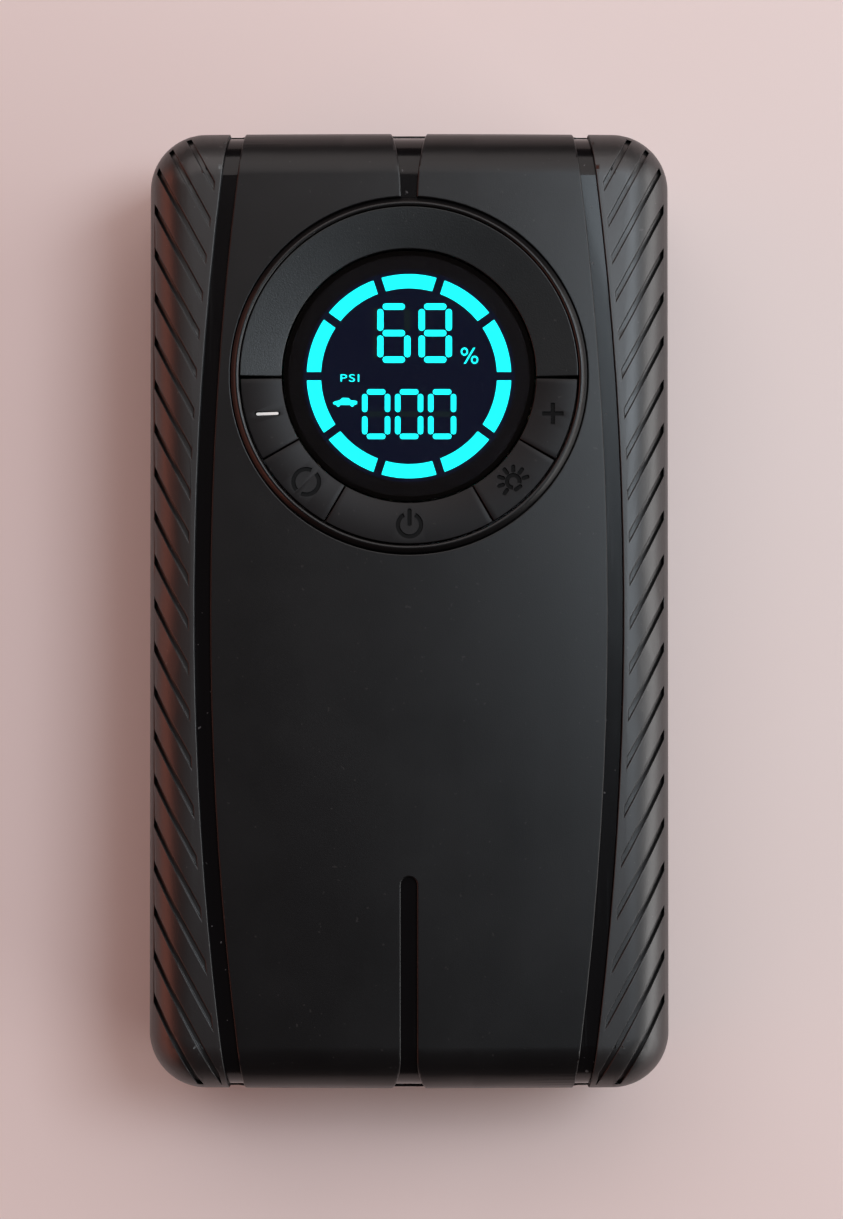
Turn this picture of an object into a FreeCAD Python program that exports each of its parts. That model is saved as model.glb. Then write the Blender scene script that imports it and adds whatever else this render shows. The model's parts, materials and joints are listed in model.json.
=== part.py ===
import FreeCAD, Part
import math
import os
import re
from collections import namedtuple

import Sketcher
from FreeCAD import Placement, Rotation, Vector

# A jump starter pack with a built-in tyre pump, lying on its back.
# Millimetres and degrees. +Z is out of the front panel, +Y is towards the display end and +X is to the
# right. The origin is on the ground under the middle of the pack.

SIZES = {
    # whole pack
    "pack_width": 105.0,
    "pack_length": 193.0,
    "pack_height": 46.0,  # crown of the front panel above the ground
    "foot_stand": 1.2,  # back of the rear shell above the ground
    "corner_round": 11.5,  # plan radius of the four corners
    "front_round": 9.5,  # roll of the front edge
    "rear_round": 6.0,  # roll of the back edge
    "crown_radius": 800.0,  # gentle cross crown of the front
    "parting_lap": 2.8,  # joint between the shells, below the grips
    "rear_wall": 2.4,
    "front_wall": 2.0,  # front shell behind the skins
    "skin_thickness": 1.6,  # front panel and side grips
    "trim_gap": 0.1,
    # plan of the front skins
    "grip_width": 9.6,  # at the pack's middle
    "panel_side_radius": 700.0,
    "strip_width": 3.2,
    "strip_drop": 0.9,  # gloss strips below the skins
    "panel_skirt": 13.0,  # panel on the end faces, down from the crown
    "grip_skirt": 24.0,  # grips on the side faces, down from the crown
    # centre slots of the front panel
    "slot_width": 3.2,
    "slot_length": 43.3,
    "slot_mouth": 7.8,  # width where a slot runs out over the end
    "slot_flare": 7.0,
    "slot_flare_above": 14.0,
    # tread grooves of the grips
    "groove_count": 22,
    "groove_pitch": 8.82,
    "groove_angle": 61.5,
    "groove_width": 1.0,
    "groove_depth": 0.7,
    "groove_margin": 1.2,
    "groove_lead": 10.9,  # first groove's line crosses the outer margin this far past the end
    # dial
    "dial_setback": 49.8,  # dial centre behind the display end
    "bezel_margin": 4.1,  # panel beside the dial
    "bezel_width": 1.7,
    "bezel_rise": 0.6,
    "bezel_flange": 1.5,
    "bezel_flange_thickness": 0.5,
    "key_band": 10.5,  # bezel and keys between the panel and the window
    "window_thickness": 1.4,
    "window_drop": 0.2,  # window below the inner edge of the keys
    "window_land": 1.0,
    "window_air": 0.3,  # display face below the window
    "key_slack": 0.3,  # between the keys and what surrounds them
    "key_lift_gap": 0.05,
    "key_span": 30.0,  # angle of the four small keys
    "key_gap_angle": 1.0,
    "key_rim_rise": 0.1,  # outer edge of the keys above the crown
    "key_dish": 0.5,  # fall of the keys towards the window
    "key_edge": 0.2,
    "key_flange_reach": 1.0,
    "key_flange_thickness": 1.0,
    "key_travel": 0.6,
    "nib_height": 0.6,
    "nib_radius": 1.6,
    "crescent_step": 0.3,  # fixed crescent above the keys
    "leg_radius": 1.6,
    "switch_side": 4.5,
    "switch_body": 1.5,
    "plunger_radius": 1.1,
    "plunger_height": 0.5,
    "mat_thickness": 0.8,
    "mat_hole_radius": 3.5,
    "well_wall": 4.3,  # ring of the front shell round the dial
    # boards and their screws
    "board_thickness": 1.6,
    "board_screw_radius": 0.8,
    "board_screw_head_radius": 1.6,
    "board_screw_head": 1.2,
    "board_screw_grip": 3.4,
    "main_board_drop": 4.5,  # main board below the inside of the front
    "main_board_margin": 12.5,  # main board inside the pack's sides
    "main_board_back": 18.4,  # and ahead of its port end
    "main_board_gap": 1.6,  # main board clear of the dial well
    "post_radius": 2.6,
    "post_inset": 4.0,
    # housing screws and feet
    "boss_inset": 9.3,  # screw axis inside the outer faces
    "boss_radius": 3.8,
    "screw_radius": 1.5,
    "screw_head_radius": 2.8,
    "screw_head_height": 2.0,
    "screw_head_sink": 2.2,
    "screw_reach": 8.0,  # thread in the front boss
    "foot_radius": 5.5,
    "foot_seat": 1.0,
    "foot_inset": 19.0,
    # vents in the back
    "vent_count": 6,
    "vent_pitch": 4.4,
    "vent_width": 1.8,
    "vent_length": 24.0,
    # end fascias
    "fascia_overhang": 2.4,  # fascia beyond the panel's ends
    "fascia_low": 7.6,  # lower edge above the ground
    "fascia_round": 4.5,
    "fascia_seat": 1.2,  # sunk in the end faces
    "fascia_proud": 0.4,
    "fascia_rim": 1.35,  # fascia below the cover straps
    "fascia_brow": 2.0,  # fascia over the covers
    # air outlet
    "air_inset": 8.92,  # outlet's axis inside the fascia's left end
    "air_thread_radius": 4.0,
    "air_thread_length": 8.0,
    "air_body_radius": 6.4,
    "air_body_length": 12.0,
    "air_face_sink": 1.5,
    "air_flange_radius": 8.2,
    "air_flange_thickness": 1.5,
    "barb_radius": 2.1,
    "barb_length": 6.0,
    "air_bore_radius": 1.2,
    "tube_wall": 1.0,
    # lamp
    "lamp_inset": 8.42,  # lamp inside the fascia's right end
    "lamp_width": 32.0,
    "lamp_height": 12.0,
    "lens_thickness": 2.0,
    "lamp_depth": 9.0,
    "lamp_cup_radius": 4.6,
    "lamp_cup_pitch": 10.0,
    "lamp_led_radius": 1.8,
    # ports
    "cover_end": 3.42,  # fascia beyond each cover
    "cover_middle": 4.0,  # and between them
    "cover_gap": 0.35,
    "cover_round": 2.5,
    "cover_tab_height": 1.6,
    "plug_reach": 1.4,
    "jump_width": 22.0,
    "jump_height": 13.0,
    "jump_depth": 20.0,
    "contact_pitch": 11.0,
    "contact_radius": 3.3,
    "contact_bore_radius": 2.5,
    "contact_bore_length": 12.0,
    "contact_sink": 2.0,
    "lead_radius": 2.2,
    "usb_board_thickness": 1.2,
    "usb_depth": 14.0,
    "usb_edge": 0.9,  # sockets inside the cover's two ends
    "usb_wall": 0.35,
    "usb_a_width": 13.1,
    "usb_a_height": 5.7,
    "usb_a_tongue": 1.8,
    "usb_c_width": 9.0,
    "usb_c_height": 3.3,
    "usb_c_tongue": 0.7,
    # parts under the main board, with their places as shares of its length
    "relay_place": 0.333,
    "capacitor_place": 0.548,
    "coil_place": 0.733,
    "rest_width": 5.0,
    "rest_length": 10.0,
    "relay_width": 20.0,
    "relay_depth": 16.0,
    "relay_height": 17.0,
    "relay_round": 1.0,
    "capacitor_radius": 4.0,
    "capacitor_height": 12.5,
    "capacitor_pitch": 11.0,
    "coil_side": 12.0,
    "coil_height": 6.0,
    "coil_round": 1.5,
    # battery
    "cell_count": 4,
    "cell_width": 44.0,
    "cell_gap": 0.1,
    "battery_headroom": 2.1,  # below the main board
    "battery_back_gap": 5.0,  # behind the jump socket
    "strap_width": 9.0,
    "strap_thickness": 0.5,
    "battery_side_gap": 4.0,  # battery clear of the left wall
    # pump
    "pump_bay": 56.8,  # room between the battery and the display end
    "motor_across": 31.0,
    "motor_clear": 2.3,  # above and below the motor
    "motor_length": 38.0,
    "motor_nose_radius": 5.0,
    "motor_nose": 2.0,
    "motor_shaft_radius": 1.15,
    "frame_thickness": 2.5,
    "frame_side": 16.0,  # plate beyond the gear's axis
    "frame_foot": 3.0,
    "saddle_inset": 3.0,
    "saddle_half_width": 8.0,
    "saddle_wrap": 2.0,
    "frame_gap": 1.0,  # pump frame clear of the battery
    "gear_clear": 1.87,  # above and below the large gear
    "gear_teeth": 36,
    "pinion_teeth": 9,
    "gear_width": 5.0,
    "gear_gap": 1.5,  # gear in front of the frame
    "gear_hub_radius": 4.0,
    "gear_bore_radius": 1.55,
    "axle_radius": 1.5,
    "crank_throw": 5.0,
    "crank_pin_radius": 1.6,
    "rod_length": 27.0,
    "rod_thickness": 4.0,
    "rod_width": 5.0,
    "rod_eye_radius": 3.6,
    "running_gap": 0.05,
    "cylinder_bore_radius": 8.5,
    "cylinder_wall": 1.7,
    "cylinder_length": 20.0,
    "piston_length": 7.0,
    "piston_slack": 0.1,
    "head_thickness": 5.0,
}

# ---------------------------------------------------------------- document and sheet

SHEET_NAME = "Sizes"
DOC = FreeCAD.newDocument("jump_starter_pack")
SHEET = DOC.addObject("Spreadsheet::Sheet", SHEET_NAME)
for row, (alias, number) in enumerate(SIZES.items(), start=1):
    SHEET.set(f"A{row}", alias)
    SHEET.set(f"B{row}", str(number))
    SHEET.setAlias(f"B{row}", alias)
DOC.recompute()

NODES = []
Disc = namedtuple("Disc", "x y radius")


def formula(text):
    """The formula with each size name pointing at its cell of the sheet."""
    return re.sub(r"[a-z][a-z_]*[a-z]", lambda m: f"{SHEET_NAME}.{m[0]}" if m[0] in SIZES else m[0], str(text))


def size(text):
    """The number that a formula of sizes gives now."""
    found = SHEET.evalExpression(formula(text))
    return float(getattr(found, "Value", found))


def bind(item, **formulas):
    """Ties properties to formulas of the sheet. A double underscore in a name stands for a dot."""
    for name, text in formulas.items():
        item.setExpression(name.replace("__", "."), formula(text))
    return item


def root_of_difference(long_side, short_side):
    """The other side of a right triangle, as a formula."""
    return f"sqrt(pow({long_side}; 2) - pow({short_side}; 2))"


def fall(radius, offset):
    """How far an arc has dropped at an offset from its highest point, as a formula."""
    return f"({radius} - {root_of_difference(radius, offset)})"


# ---------------------------------------------------------------- sketches and features

def add_edge(sketch, start, end, radius):
    """Adds a line, or an arc that bulges to the right of its travel, or to the left if radius < 0."""
    if radius is None:
        return sketch.addGeometry(Part.LineSegment(start, end))
    chord = end - start
    bulge = abs(radius) - (radius**2 - chord.Length**2 / 4) ** 0.5
    right = Vector(chord.y, -chord.x, 0).normalize()
    middle = (start + end) * 0.5 + right * (bulge if radius > 0 else -bulge)
    return sketch.addGeometry(Part.Arc(start, middle, end))


def draw(sketch, loop):
    """Draws a circle or a closed outline, and ties it to the sheet.

    An outline is a list of corners (x, y), or (x, y, radius) where the edge to the next corner is an arc.
    """
    rules = []
    if isinstance(loop, Disc):
        x, y, radius = (size(value) for value in loop)
        index = sketch.addGeometry(Part.Circle(Vector(x, y, 0), Vector(0, 0, 1), radius))
        rules.append((Sketcher.Constraint("DistanceX", -1, 1, index, 3, x), loop.x))
        rules.append((Sketcher.Constraint("DistanceY", -1, 1, index, 3, y), loop.y))
        rules.append((Sketcher.Constraint("Radius", index, radius), loop.radius))
    else:
        spots = [Vector(size(corner[0]), size(corner[1]), 0) for corner in loop]
        ends = []
        for place, corner in enumerate(loop):
            start, end = spots[place], spots[(place + 1) % len(loop)]
            radius = size(corner[2]) if len(corner) > 2 else None
            index = add_edge(sketch, start, end, radius)
            flipped = (sketch.getPoint(index, 1) - start).Length > (sketch.getPoint(index, 2) - start).Length
            ends.append((index, 2, 1) if flipped else (index, 1, 2))
            if radius is not None:
                rules.append((Sketcher.Constraint("Radius", index, abs(radius)), f"abs({corner[2]})"))
        for place, (index, first, last) in enumerate(ends):
            follower = ends[(place + 1) % len(ends)]
            rules.append((Sketcher.Constraint("Coincident", index, last, follower[0], follower[1]), None))
            x, y = loop[place][:2]
            rules.append((Sketcher.Constraint("DistanceX", -1, 1, index, first, size(x)), x))
            rules.append((Sketcher.Constraint("DistanceY", -1, 1, index, first, size(y)), y))
    numbers = sketch.addConstraint([rule for rule, _ in rules])
    for number, (_, text) in zip(numbers, rules):
        if text is not None and formula(text) != str(text):
            sketch.setExpression(f"Constraints[{number}]", formula(text))


def sketch_on(body, plane, level, loops):
    """A sketch on one of the body's own planes, lifted by level along the plane's normal."""
    sketch = body.newObject("Sketcher::SketchObject", f"{body.Name}_outline")
    origin = next(item for item in body.Origin.OriginFeatures if item.Role == f"{plane}_Plane")
    sketch.AttachmentSupport = [(origin, "")]
    sketch.MapMode = "FlatFace"
    bind(sketch, AttachmentOffset__Base__z=level)
    for loop in loops:
        draw(sketch, loop)
    return sketch


def new_body(label, x="0", y="0", z="0", axis=None, angle="0"):
    """An empty body at a place, turned about an axis."""
    body = DOC.addObject("PartDesign::Body", label)
    body.Label = label
    if axis is not None:
        body.Placement = Placement(Vector(), Rotation(axis, size(angle)))
        bind(body, Placement__Rotation__Angle=angle)
    bind(body, Placement__Base__x=x, Placement__Base__y=y, Placement__Base__z=z)
    return body


def pad(body, loops, low, high, plane="XY"):
    """Adds a prism between two levels across the plane."""
    level = f"-({high})" if plane == "XZ" else low
    feature = body.newObject("PartDesign::Pad", f"{body.Name}_pad")
    feature.Profile = sketch_on(body, plane, level, loops)
    bind(feature, Length=f"({high}) - ({low})")
    body.Tip = feature
    return feature


def pocket(body, loops, low, high, plane="XY"):
    """Cuts a prism between two levels across the plane."""
    level = f"-({low})" if plane == "XZ" else high
    feature = body.newObject("PartDesign::Pocket", f"{body.Name}_pocket")
    feature.Profile = sketch_on(body, plane, level, loops)
    bind(feature, Length=f"({high}) - ({low})")
    body.Tip = feature
    return feature


def turn(body, loops, angle="360", kind="Revolution"):
    """Revolves an outline of (radius, height) corners about the body's Z axis, evenly to both sides."""
    feature = body.newObject(f"PartDesign::{kind}", f"{body.Name}_turn")
    feature.Profile = sketch_on(body, "XZ", "0", loops)
    feature.ReferenceAxis = (feature.Profile[0], ["V_Axis"])
    feature.Midplane = True
    bind(feature, Angle=angle)
    body.Tip = feature
    return feature


def soften(body, radius, pick, kind="Fillet"):
    """Rounds or bevels the edges that pick chooses."""
    DOC.recompute()
    base = body.Tip
    names = [f"Edge{place}" for place, edge in enumerate(base.Shape.Edges, start=1) if pick(edge)]
    feature = body.newObject(f"PartDesign::{kind}", f"{body.Name}_edge")
    feature.Base = (base, names)
    bind(feature, **{"Radius" if kind == "Fillet" else "Size": radius})
    body.Tip = feature
    return feature


def repeat(body, feature, count, step, axis="Y_Axis"):
    """Repeats a feature along one of the body's axes."""
    pattern = body.newObject("PartDesign::LinearPattern", f"{body.Name}_row")
    pattern.Originals = [feature]
    pattern.Direction = (next(item for item in body.Origin.OriginFeatures if item.Role == axis), [""])
    bind(pattern, Length=f"({step}) * ({count} - 1)", Occurrences=count)
    body.Tip = pattern
    return pattern


def repeat_round(body, feature, count):
    """Repeats a feature evenly round the body's Z axis."""
    pattern = body.newObject("PartDesign::PolarPattern", f"{body.Name}_ring")
    pattern.Originals = [feature]
    pattern.Axis = (next(item for item in body.Origin.OriginFeatures if item.Role == "Z_Axis"), [""])
    pattern.Angle = 360
    bind(pattern, Occurrences=count)
    body.Tip = pattern
    return pattern


def upright(edge):
    """Whether an edge stands along Z."""
    box = edge.BoundBox
    return box.ZLength > 1 and box.XLength < 0.01 and box.YLength < 0.01


def lengthwise(edge):
    """Whether an edge runs along Y."""
    return edge.BoundBox.YLength > edge.BoundBox.XLength + edge.BoundBox.ZLength


def rectangle(left, right, low, high):
    """The outline of a rectangle."""
    return [(left, low), (right, low), (right, high), (left, high)]


def rounded(x, y, width, height, radius):
    """The outline of a rectangle with round corners, about a centre."""
    left, right = f"({x}) - ({width}) / 2", f"({x}) + ({width}) / 2"
    low, high = f"({y}) - ({height}) / 2", f"({y}) + ({height}) / 2"
    r = f"({radius})"
    return [
        (f"{left} + {r}", low), (f"{right} - {r}", low, radius),
        (right, f"{low} + {r}"), (right, f"{high} - {r}", radius),
        (f"{right} - {r}", high), (f"{left} + {r}", high, radius),
        (left, f"{high} - {r}"), (left, f"{low} + {r}", radius),
    ]


# ---------------------------------------------------------------- solids from solids

def joined(label, *solids):
    result = DOC.addObject("Part::MultiFuse", label)
    result.Shapes = list(solids)
    return result


def shared(label, *solids):
    result = DOC.addObject("Part::MultiCommon", label)
    result.Shapes = list(solids)
    return result


def cut(label, base, *tools):
    result = DOC.addObject("Part::Cut", label)
    result.Base = base
    result.Tool = tools[0] if len(tools) == 1 else joined(f"{label}_tools", *tools)
    return result


def mirrored(label, source):
    result = DOC.addObject("Part::Mirroring", label)
    result.Source = source
    result.Normal = Vector(1, 0, 0)
    return result


def group(label, solids):
    result = DOC.addObject("Part::Compound", label)
    result.Links = list(solids)
    return result


def node(item):
    """Marks an object as a finished piece, named by its label."""
    NODES.append(item)
    return item


# ---------------------------------------------------------------- levels and places

HALF_W = "(pack_width / 2)"
HALF_L = "(pack_length / 2)"
TOP = "pack_height"
FLOOR = "(foot_stand + rear_wall)"
PARTING = f"({TOP} - grip_skirt - parting_lap)"
SHELL_INSET = "(skin_thickness + front_wall)"
CEILING = f"(pack_height - {SHELL_INSET})"
STRIP_HALF = f"({HALF_W} - grip_width)"
PANEL_HALF = f"({STRIP_HALF} - strip_width)"

DIAL_Y = f"({HALF_L} - dial_setback)"
BEZEL_OUTER = f"({PANEL_HALF} - bezel_margin)"
WINDOW_RADIUS = f"({BEZEL_OUTER} - key_band)"
BEZEL_REACH = f"({BEZEL_OUTER} + bezel_flange)"
BEZEL_SEAT = f"({TOP} - skin_thickness - {fall('crown_radius', BEZEL_REACH)} - bezel_flange_thickness - trim_gap)"
KEY_OUTER = f"({BEZEL_OUTER} - bezel_width - key_slack)"
KEY_INNER = f"({WINDOW_RADIUS} + key_slack)"
KEY_MIDDLE = f"(({KEY_OUTER} + {KEY_INNER}) / 2)"
KEY_TOP = f"({TOP} + key_rim_rise)"
KEY_FLANGE_TOP = f"({BEZEL_SEAT} - key_lift_gap)"
KEY_FLANGE_LOW = f"({KEY_FLANGE_TOP} - key_flange_thickness)"
NIB_LOW = f"({KEY_FLANGE_LOW} - nib_height)"
DIAL_BOARD_TOP = f"({NIB_LOW} - key_travel - key_lift_gap - plunger_height - switch_body)"
DIAL_BOARD_LOW = f"({DIAL_BOARD_TOP} - board_thickness)"
WELL_INNER = f"({KEY_OUTER} + key_flange_reach + key_slack)"
WELL_OUTER = f"({WELL_INNER} + well_wall)"
WINDOW_TOP = f"({KEY_TOP} - key_dish - window_drop)"
WINDOW_LOW = f"({WINDOW_TOP} - window_thickness)"

MAIN_TOP = f"({CEILING} - main_board_drop)"
MAIN_LOW = f"({MAIN_TOP} - board_thickness)"
MAIN_FRONT = f"({DIAL_Y} - {WELL_OUTER} - main_board_gap)"
MAIN_BACK = f"(-{HALF_L} + main_board_back)"
MAIN_HALF = f"({HALF_W} - main_board_margin)"

FASCIA_HIGH = f"({TOP} - panel_skirt - trim_gap)"
FASCIA_HALF = f"({PANEL_HALF} - {fall('panel_side_radius', HALF_L)} + fascia_overhang)"
FASCIA_FACE = f"({HALF_L} + fascia_proud)"
FASCIA_SEAT = f"({HALF_L} - fascia_seat)"
AIR_ACROSS = f"({FASCIA_HALF} - air_inset)"
LAMP_ACROSS = f"({FASCIA_HALF} - lamp_inset - lamp_width / 2)"
COVER_WIDTH = f"({FASCIA_HALF} - cover_end - cover_middle / 2)"
PORT_ACROSS = f"((cover_middle + {COVER_WIDTH}) / 2)"
USB_A_ACROSS = "(cover_middle / 2 + usb_edge + usb_a_width / 2)"
USB_C_ACROSS = f"({FASCIA_HALF} - cover_end - usb_edge - usb_c_width / 2)"
TAB_LOW = "(fascia_low + fascia_rim)"
COVER_LOW = f"({TAB_LOW} + cover_tab_height + cover_gap)"
COVER_HIGH = f"({FASCIA_HIGH} - fascia_brow)"
COVER_HEIGHT = f"({COVER_HIGH} - {COVER_LOW})"
PORT_RISE = f"(({COVER_LOW} + {COVER_HIGH}) / 2)"

CELL_LOW = f"({FLOOR} + strap_thickness)"
BATTERY_LEFT = f"(-{HALF_W} + rear_wall + battery_side_gap)"
BATTERY_RIGHT = f"({BATTERY_LEFT} + cell_width)"
BATTERY_TOP = f"({MAIN_LOW} - battery_headroom)"
CELL_PITCH = f"(({BATTERY_TOP} - {CELL_LOW}) / cell_count)"
BATTERY_BACK = f"(-{FASCIA_SEAT} + jump_depth + battery_back_gap)"
BATTERY_FRONT = f"({HALF_L} - pump_bay)"

PUMP_HALF_HEIGHT = f"(({DIAL_BOARD_LOW} - board_screw_head - {FLOOR}) / 2)"
PUMP_Z = f"({FLOOR} + {PUMP_HALF_HEIGHT})"
MOTOR_RADIUS = f"({PUMP_HALF_HEIGHT} - motor_clear)"
GEAR_MODULE = f"(({PUMP_HALF_HEIGHT} - gear_clear) / (gear_teeth / 2 + 1))"
FRAME_BACK = f"({BATTERY_FRONT} + frame_gap)"
FRAME_FRONT = f"({FRAME_BACK} + frame_thickness)"
GEAR_X = f"(motor_across - {GEAR_MODULE} * (gear_teeth + pinion_teeth) / 2)"
GEAR_BACK = f"({FRAME_FRONT} + gear_gap)"
GEAR_FRONT = f"({GEAR_BACK} + gear_width)"
ROD_BACK = f"({GEAR_FRONT} + gear_gap)"
ROD_Y = f"({ROD_BACK} + rod_thickness / 2)"
PIN_X = f"({GEAR_X} - crank_throw)"
PISTON_X = f"({PIN_X} - rod_length)"
HEAD_X = f"({PISTON_X} - piston_length / 2 - gear_gap)"
CYLINDER_RADIUS = "(cylinder_bore_radius + cylinder_wall)"

ALONG_Y = dict(axis=Vector(1, 0, 0), angle="-90")  # a body's own Z points along +Y
ALONG_X = dict(axis=Vector(0, 1, 0), angle="90")  # a body's own Z points along +X


# ---------------------------------------------------------------- housing

def form(label, inset, rear_inset):
    """The pack's outer form, or the same form drawn in all round by an inset."""
    body = new_body(label)
    half = f"({HALF_W} - {inset})"
    crown = f"(crown_radius - {inset})"
    shoulder = f"({TOP} - {inset} - {fall(crown, half)})"
    low = f"(foot_stand + {rear_inset})"
    outline = [(f"-{half}", low), (half, low), (half, shoulder, crown), (f"-{half}", shoulder)]
    pad(body, [outline], f"-({HALF_L} - {inset})", f"{HALF_L} - {inset}", plane="XZ")
    soften(body, f"corner_round - {inset}", upright)
    height = size(low) + 0.01
    crest = size(shoulder) - 0.01
    soften(body, f"front_round - {inset}", lambda edge: edge.BoundBox.ZMin > crest)
    soften(body, f"rear_round - {rear_inset}", lambda edge: edge.BoundBox.ZMax < height)
    return body


def arc_half_width(half_width, y):
    """Half width, at y, of a region whose sides are arcs about the pack's middle."""
    return f"({half_width} - {fall('panel_side_radius', y)})"


def waist(label, half_width, low, side=None):
    """A prism above a level, bounded by the panel's side arcs: between them, or beyond the right one."""
    body = new_body(label)
    end = f"({HALF_L} + 2)"
    edge = arc_half_width(half_width, end)
    if side is None:
        outline = [(f"-{edge}", f"-{end}"), (edge, f"-{end}", "panel_side_radius"),
                   (edge, end), (f"-{edge}", end, "panel_side_radius")]
    else:
        far = f"({HALF_W} + 2)"
        outline = [(edge, f"-{end}"), (far, f"-{end}"), (far, end), (edge, end, "-panel_side_radius")]
    pad(body, [outline], low, f"{TOP} + 2")
    return body


def slot_prism(label, start, direction, flare):
    """A centre slot with one round end, which widens where it runs out over an end face."""
    body = new_body(label)
    sign = "" if direction > 0 else "-"
    half = "(slot_width / 2)"
    mouth = "(slot_mouth / 2)"
    end = f"{sign}({HALF_L} + 1)"
    bend = f"{sign}({HALF_L} - {flare})"
    run = f"({flare} + 1)"
    widen = f"({mouth} - {half})"
    curve = f"((pow({run}; 2) + pow({widen}; 2)) / (2 * {widen}))"
    begin = f"({start} + ({sign}{half}))"
    turn_sign = "" if direction > 0 else "-"
    outline = [
        ("0", start, f"{turn_sign}{half}"), (half, begin), (half, bend, f"{turn_sign}-{curve}".replace("--", "")),
        (mouth, end), (f"-{mouth}", end, f"{turn_sign}-{curve}".replace("--", "")),
        (f"-{half}", bend), (f"-{half}", begin, f"{turn_sign}{half}"),
    ]
    pad(body, [outline], f"{TOP} - panel_skirt", f"{TOP} + 2")
    return body


def make_forms():
    """The nested forms that the shells and skins are cut from."""
    outer = form("outer_form", "0", "0")
    under_skin = form("under_skin_form", "skin_thickness", "skin_thickness")
    front_cavity = form("front_cavity_form", SHELL_INSET, "rear_wall")
    rear_cavity = form("rear_cavity_form", "rear_wall", "rear_wall")
    strip_top = form("strip_top_form", "strip_drop", "strip_drop")
    groove_floor = form("groove_floor_form", "groove_depth", "groove_depth")
    skin = cut("skin_layer", outer, under_skin)
    strip = cut("strip_layer", strip_top, under_skin)
    groove = cut("groove_layer", outer, groove_floor)
    return outer, under_skin, front_cavity, rear_cavity, skin, strip, groove


OUTER, UNDER_SKIN, FRONT_CAVITY, REAR_CAVITY, SKIN, STRIP, GROOVES = make_forms()


def make_skins():
    """Front panel, side grips and gloss strips. Returns what the front shell leaves free for them."""
    skirt = f"({TOP} - panel_skirt)"
    panel_room = waist("panel_room", PANEL_HALF, skirt)
    strip_room = waist("strip_room", STRIP_HALF, skirt)
    grip_room = waist("grip_room", STRIP_HALF, f"{TOP} - grip_skirt", side=1)
    right_of_panel = waist("right_of_panel", PANEL_HALF, skirt, side=1)

    dial_hole = new_body("dial_hole", y=DIAL_Y)
    pad(dial_hole, [Disc("0", "0", f"{BEZEL_OUTER} + trim_gap")], f"{TOP} - panel_skirt", f"{TOP} + 2")
    top_slot = slot_prism("top_slot", f"({DIAL_Y} + {BEZEL_OUTER} - slot_width)", 1, "slot_flare_above")
    low_slot = slot_prism("low_slot", f"(-{HALF_L} + slot_length)", -1, "slot_flare")

    panel_blank = shared("panel_blank", SKIN, panel_room)
    node(cut("front_panel", panel_blank, dial_hole, top_slot, low_slot))

    # the gloss strips lie under the channels and under the centre slots
    right_strip = shared("right_trim_strip", STRIP, strip_room, right_of_panel)
    node(right_strip)
    node(mirrored("left_trim_strip", right_strip))
    node(cut("top_slot_strip", shared("top_slot_blank", STRIP, top_slot), dial_hole))
    node(shared("bottom_slot_strip", STRIP, low_slot))

    # tread grooves: slanted bars across the whole grip, trimmed to its margins
    bars = new_body("groove_bars")
    pitch_x = f"({HALF_W} - groove_margin)"
    first_y = f"({HALF_L} + groove_lead)"
    run = "(pack_width / 3)"
    half_rise = "(groove_width / 2 / cos(groove_angle))"
    slope = "tan(groove_angle)"
    outline = [
        (pitch_x, f"{first_y} - {half_rise}"), (pitch_x, f"{first_y} + {half_rise}"),
        (f"{pitch_x} - {run}", f"{first_y} + {half_rise} - {run} * {slope}"),
        (f"{pitch_x} - {run}", f"{first_y} - {half_rise} - {run} * {slope}"),
    ]
    first_bar = pad(bars, [outline], f"{TOP} - grip_skirt", f"{TOP} + 2")
    row = repeat(bars, first_bar, "groove_count", "groove_pitch")
    row.Reversed = True
    margins = new_body("groove_margins")
    margin_x, margin_y = f"({HALF_W} - groove_margin)", f"({HALF_L} - groove_margin)"
    pad(margins, [rectangle(f"-{margin_x}", margin_x, f"-{margin_y}", margin_y)], "0", f"{TOP} + 4")
    soften(margins, "corner_round - groove_margin", upright)
    groove_room = waist("groove_room", f"({STRIP_HALF} + groove_margin)", f"{TOP} - grip_skirt", side=1)
    grip_blank = shared("grip_blank", SKIN, grip_room)
    grooves = shared("tread_grooves", bars, margins, groove_room, GROOVES)
    right_grip = node(cut("right_grip", grip_blank, grooves))
    node(mirrored("left_grip", right_grip))

    grip_space = shared("right_grip_space", SKIN, grip_room)
    front_space = shared("front_space", SKIN, strip_room)
    return joined("skin_space", front_space, grip_space, mirrored("left_grip_space", grip_space))


def four_corners(inset_x, inset_y):
    """The four places inside the corners, as formulas of x and y."""
    x, y = f"({HALF_W} - {inset_x})", f"({HALF_L} - {inset_y})"
    return [(x, y), (f"-{x}", y), (f"-{x}", f"-{y}"), (x, f"-{y}")]


def main_board_posts():
    """Places of the main board's four posts."""
    x = f"({MAIN_HALF} - post_inset)"
    return [(sign + x, y) for sign in ("", "-")
            for y in (f"({MAIN_FRONT} - post_inset)", f"({MAIN_BACK} + post_inset)")]


def dial_screw_places():
    """Places of the dial board's screws, about the dial's centre."""
    reach = f"(({WELL_INNER} + {WELL_OUTER}) / 2 * cos(45))"
    return [(reach, reach), (f"-{reach}", reach), (f"-{reach}", f"-{reach}"), (reach, f"-{reach}")]


def end_face_tool(label, sign, loops, inner, outer):
    """A prism through an end wall, between two distances from the pack's middle."""
    body = new_body(label)
    low, high = (inner, outer) if sign > 0 else (f"-({outer})", f"-({inner})")
    pad(body, loops, low, high, plane="XZ")
    return body


def fascia_outline(gap="0"):
    """The outline of an end fascia, or of its seat with a gap all round."""
    height = f"({FASCIA_HIGH} - fascia_low)"
    middle = f"(fascia_low + {height} / 2)"
    return rounded("0", middle, f"({FASCIA_HALF} * 2 + {gap} * 2)", f"({height} + {gap} * 2)",
                   f"(fascia_round + {gap})")


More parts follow.
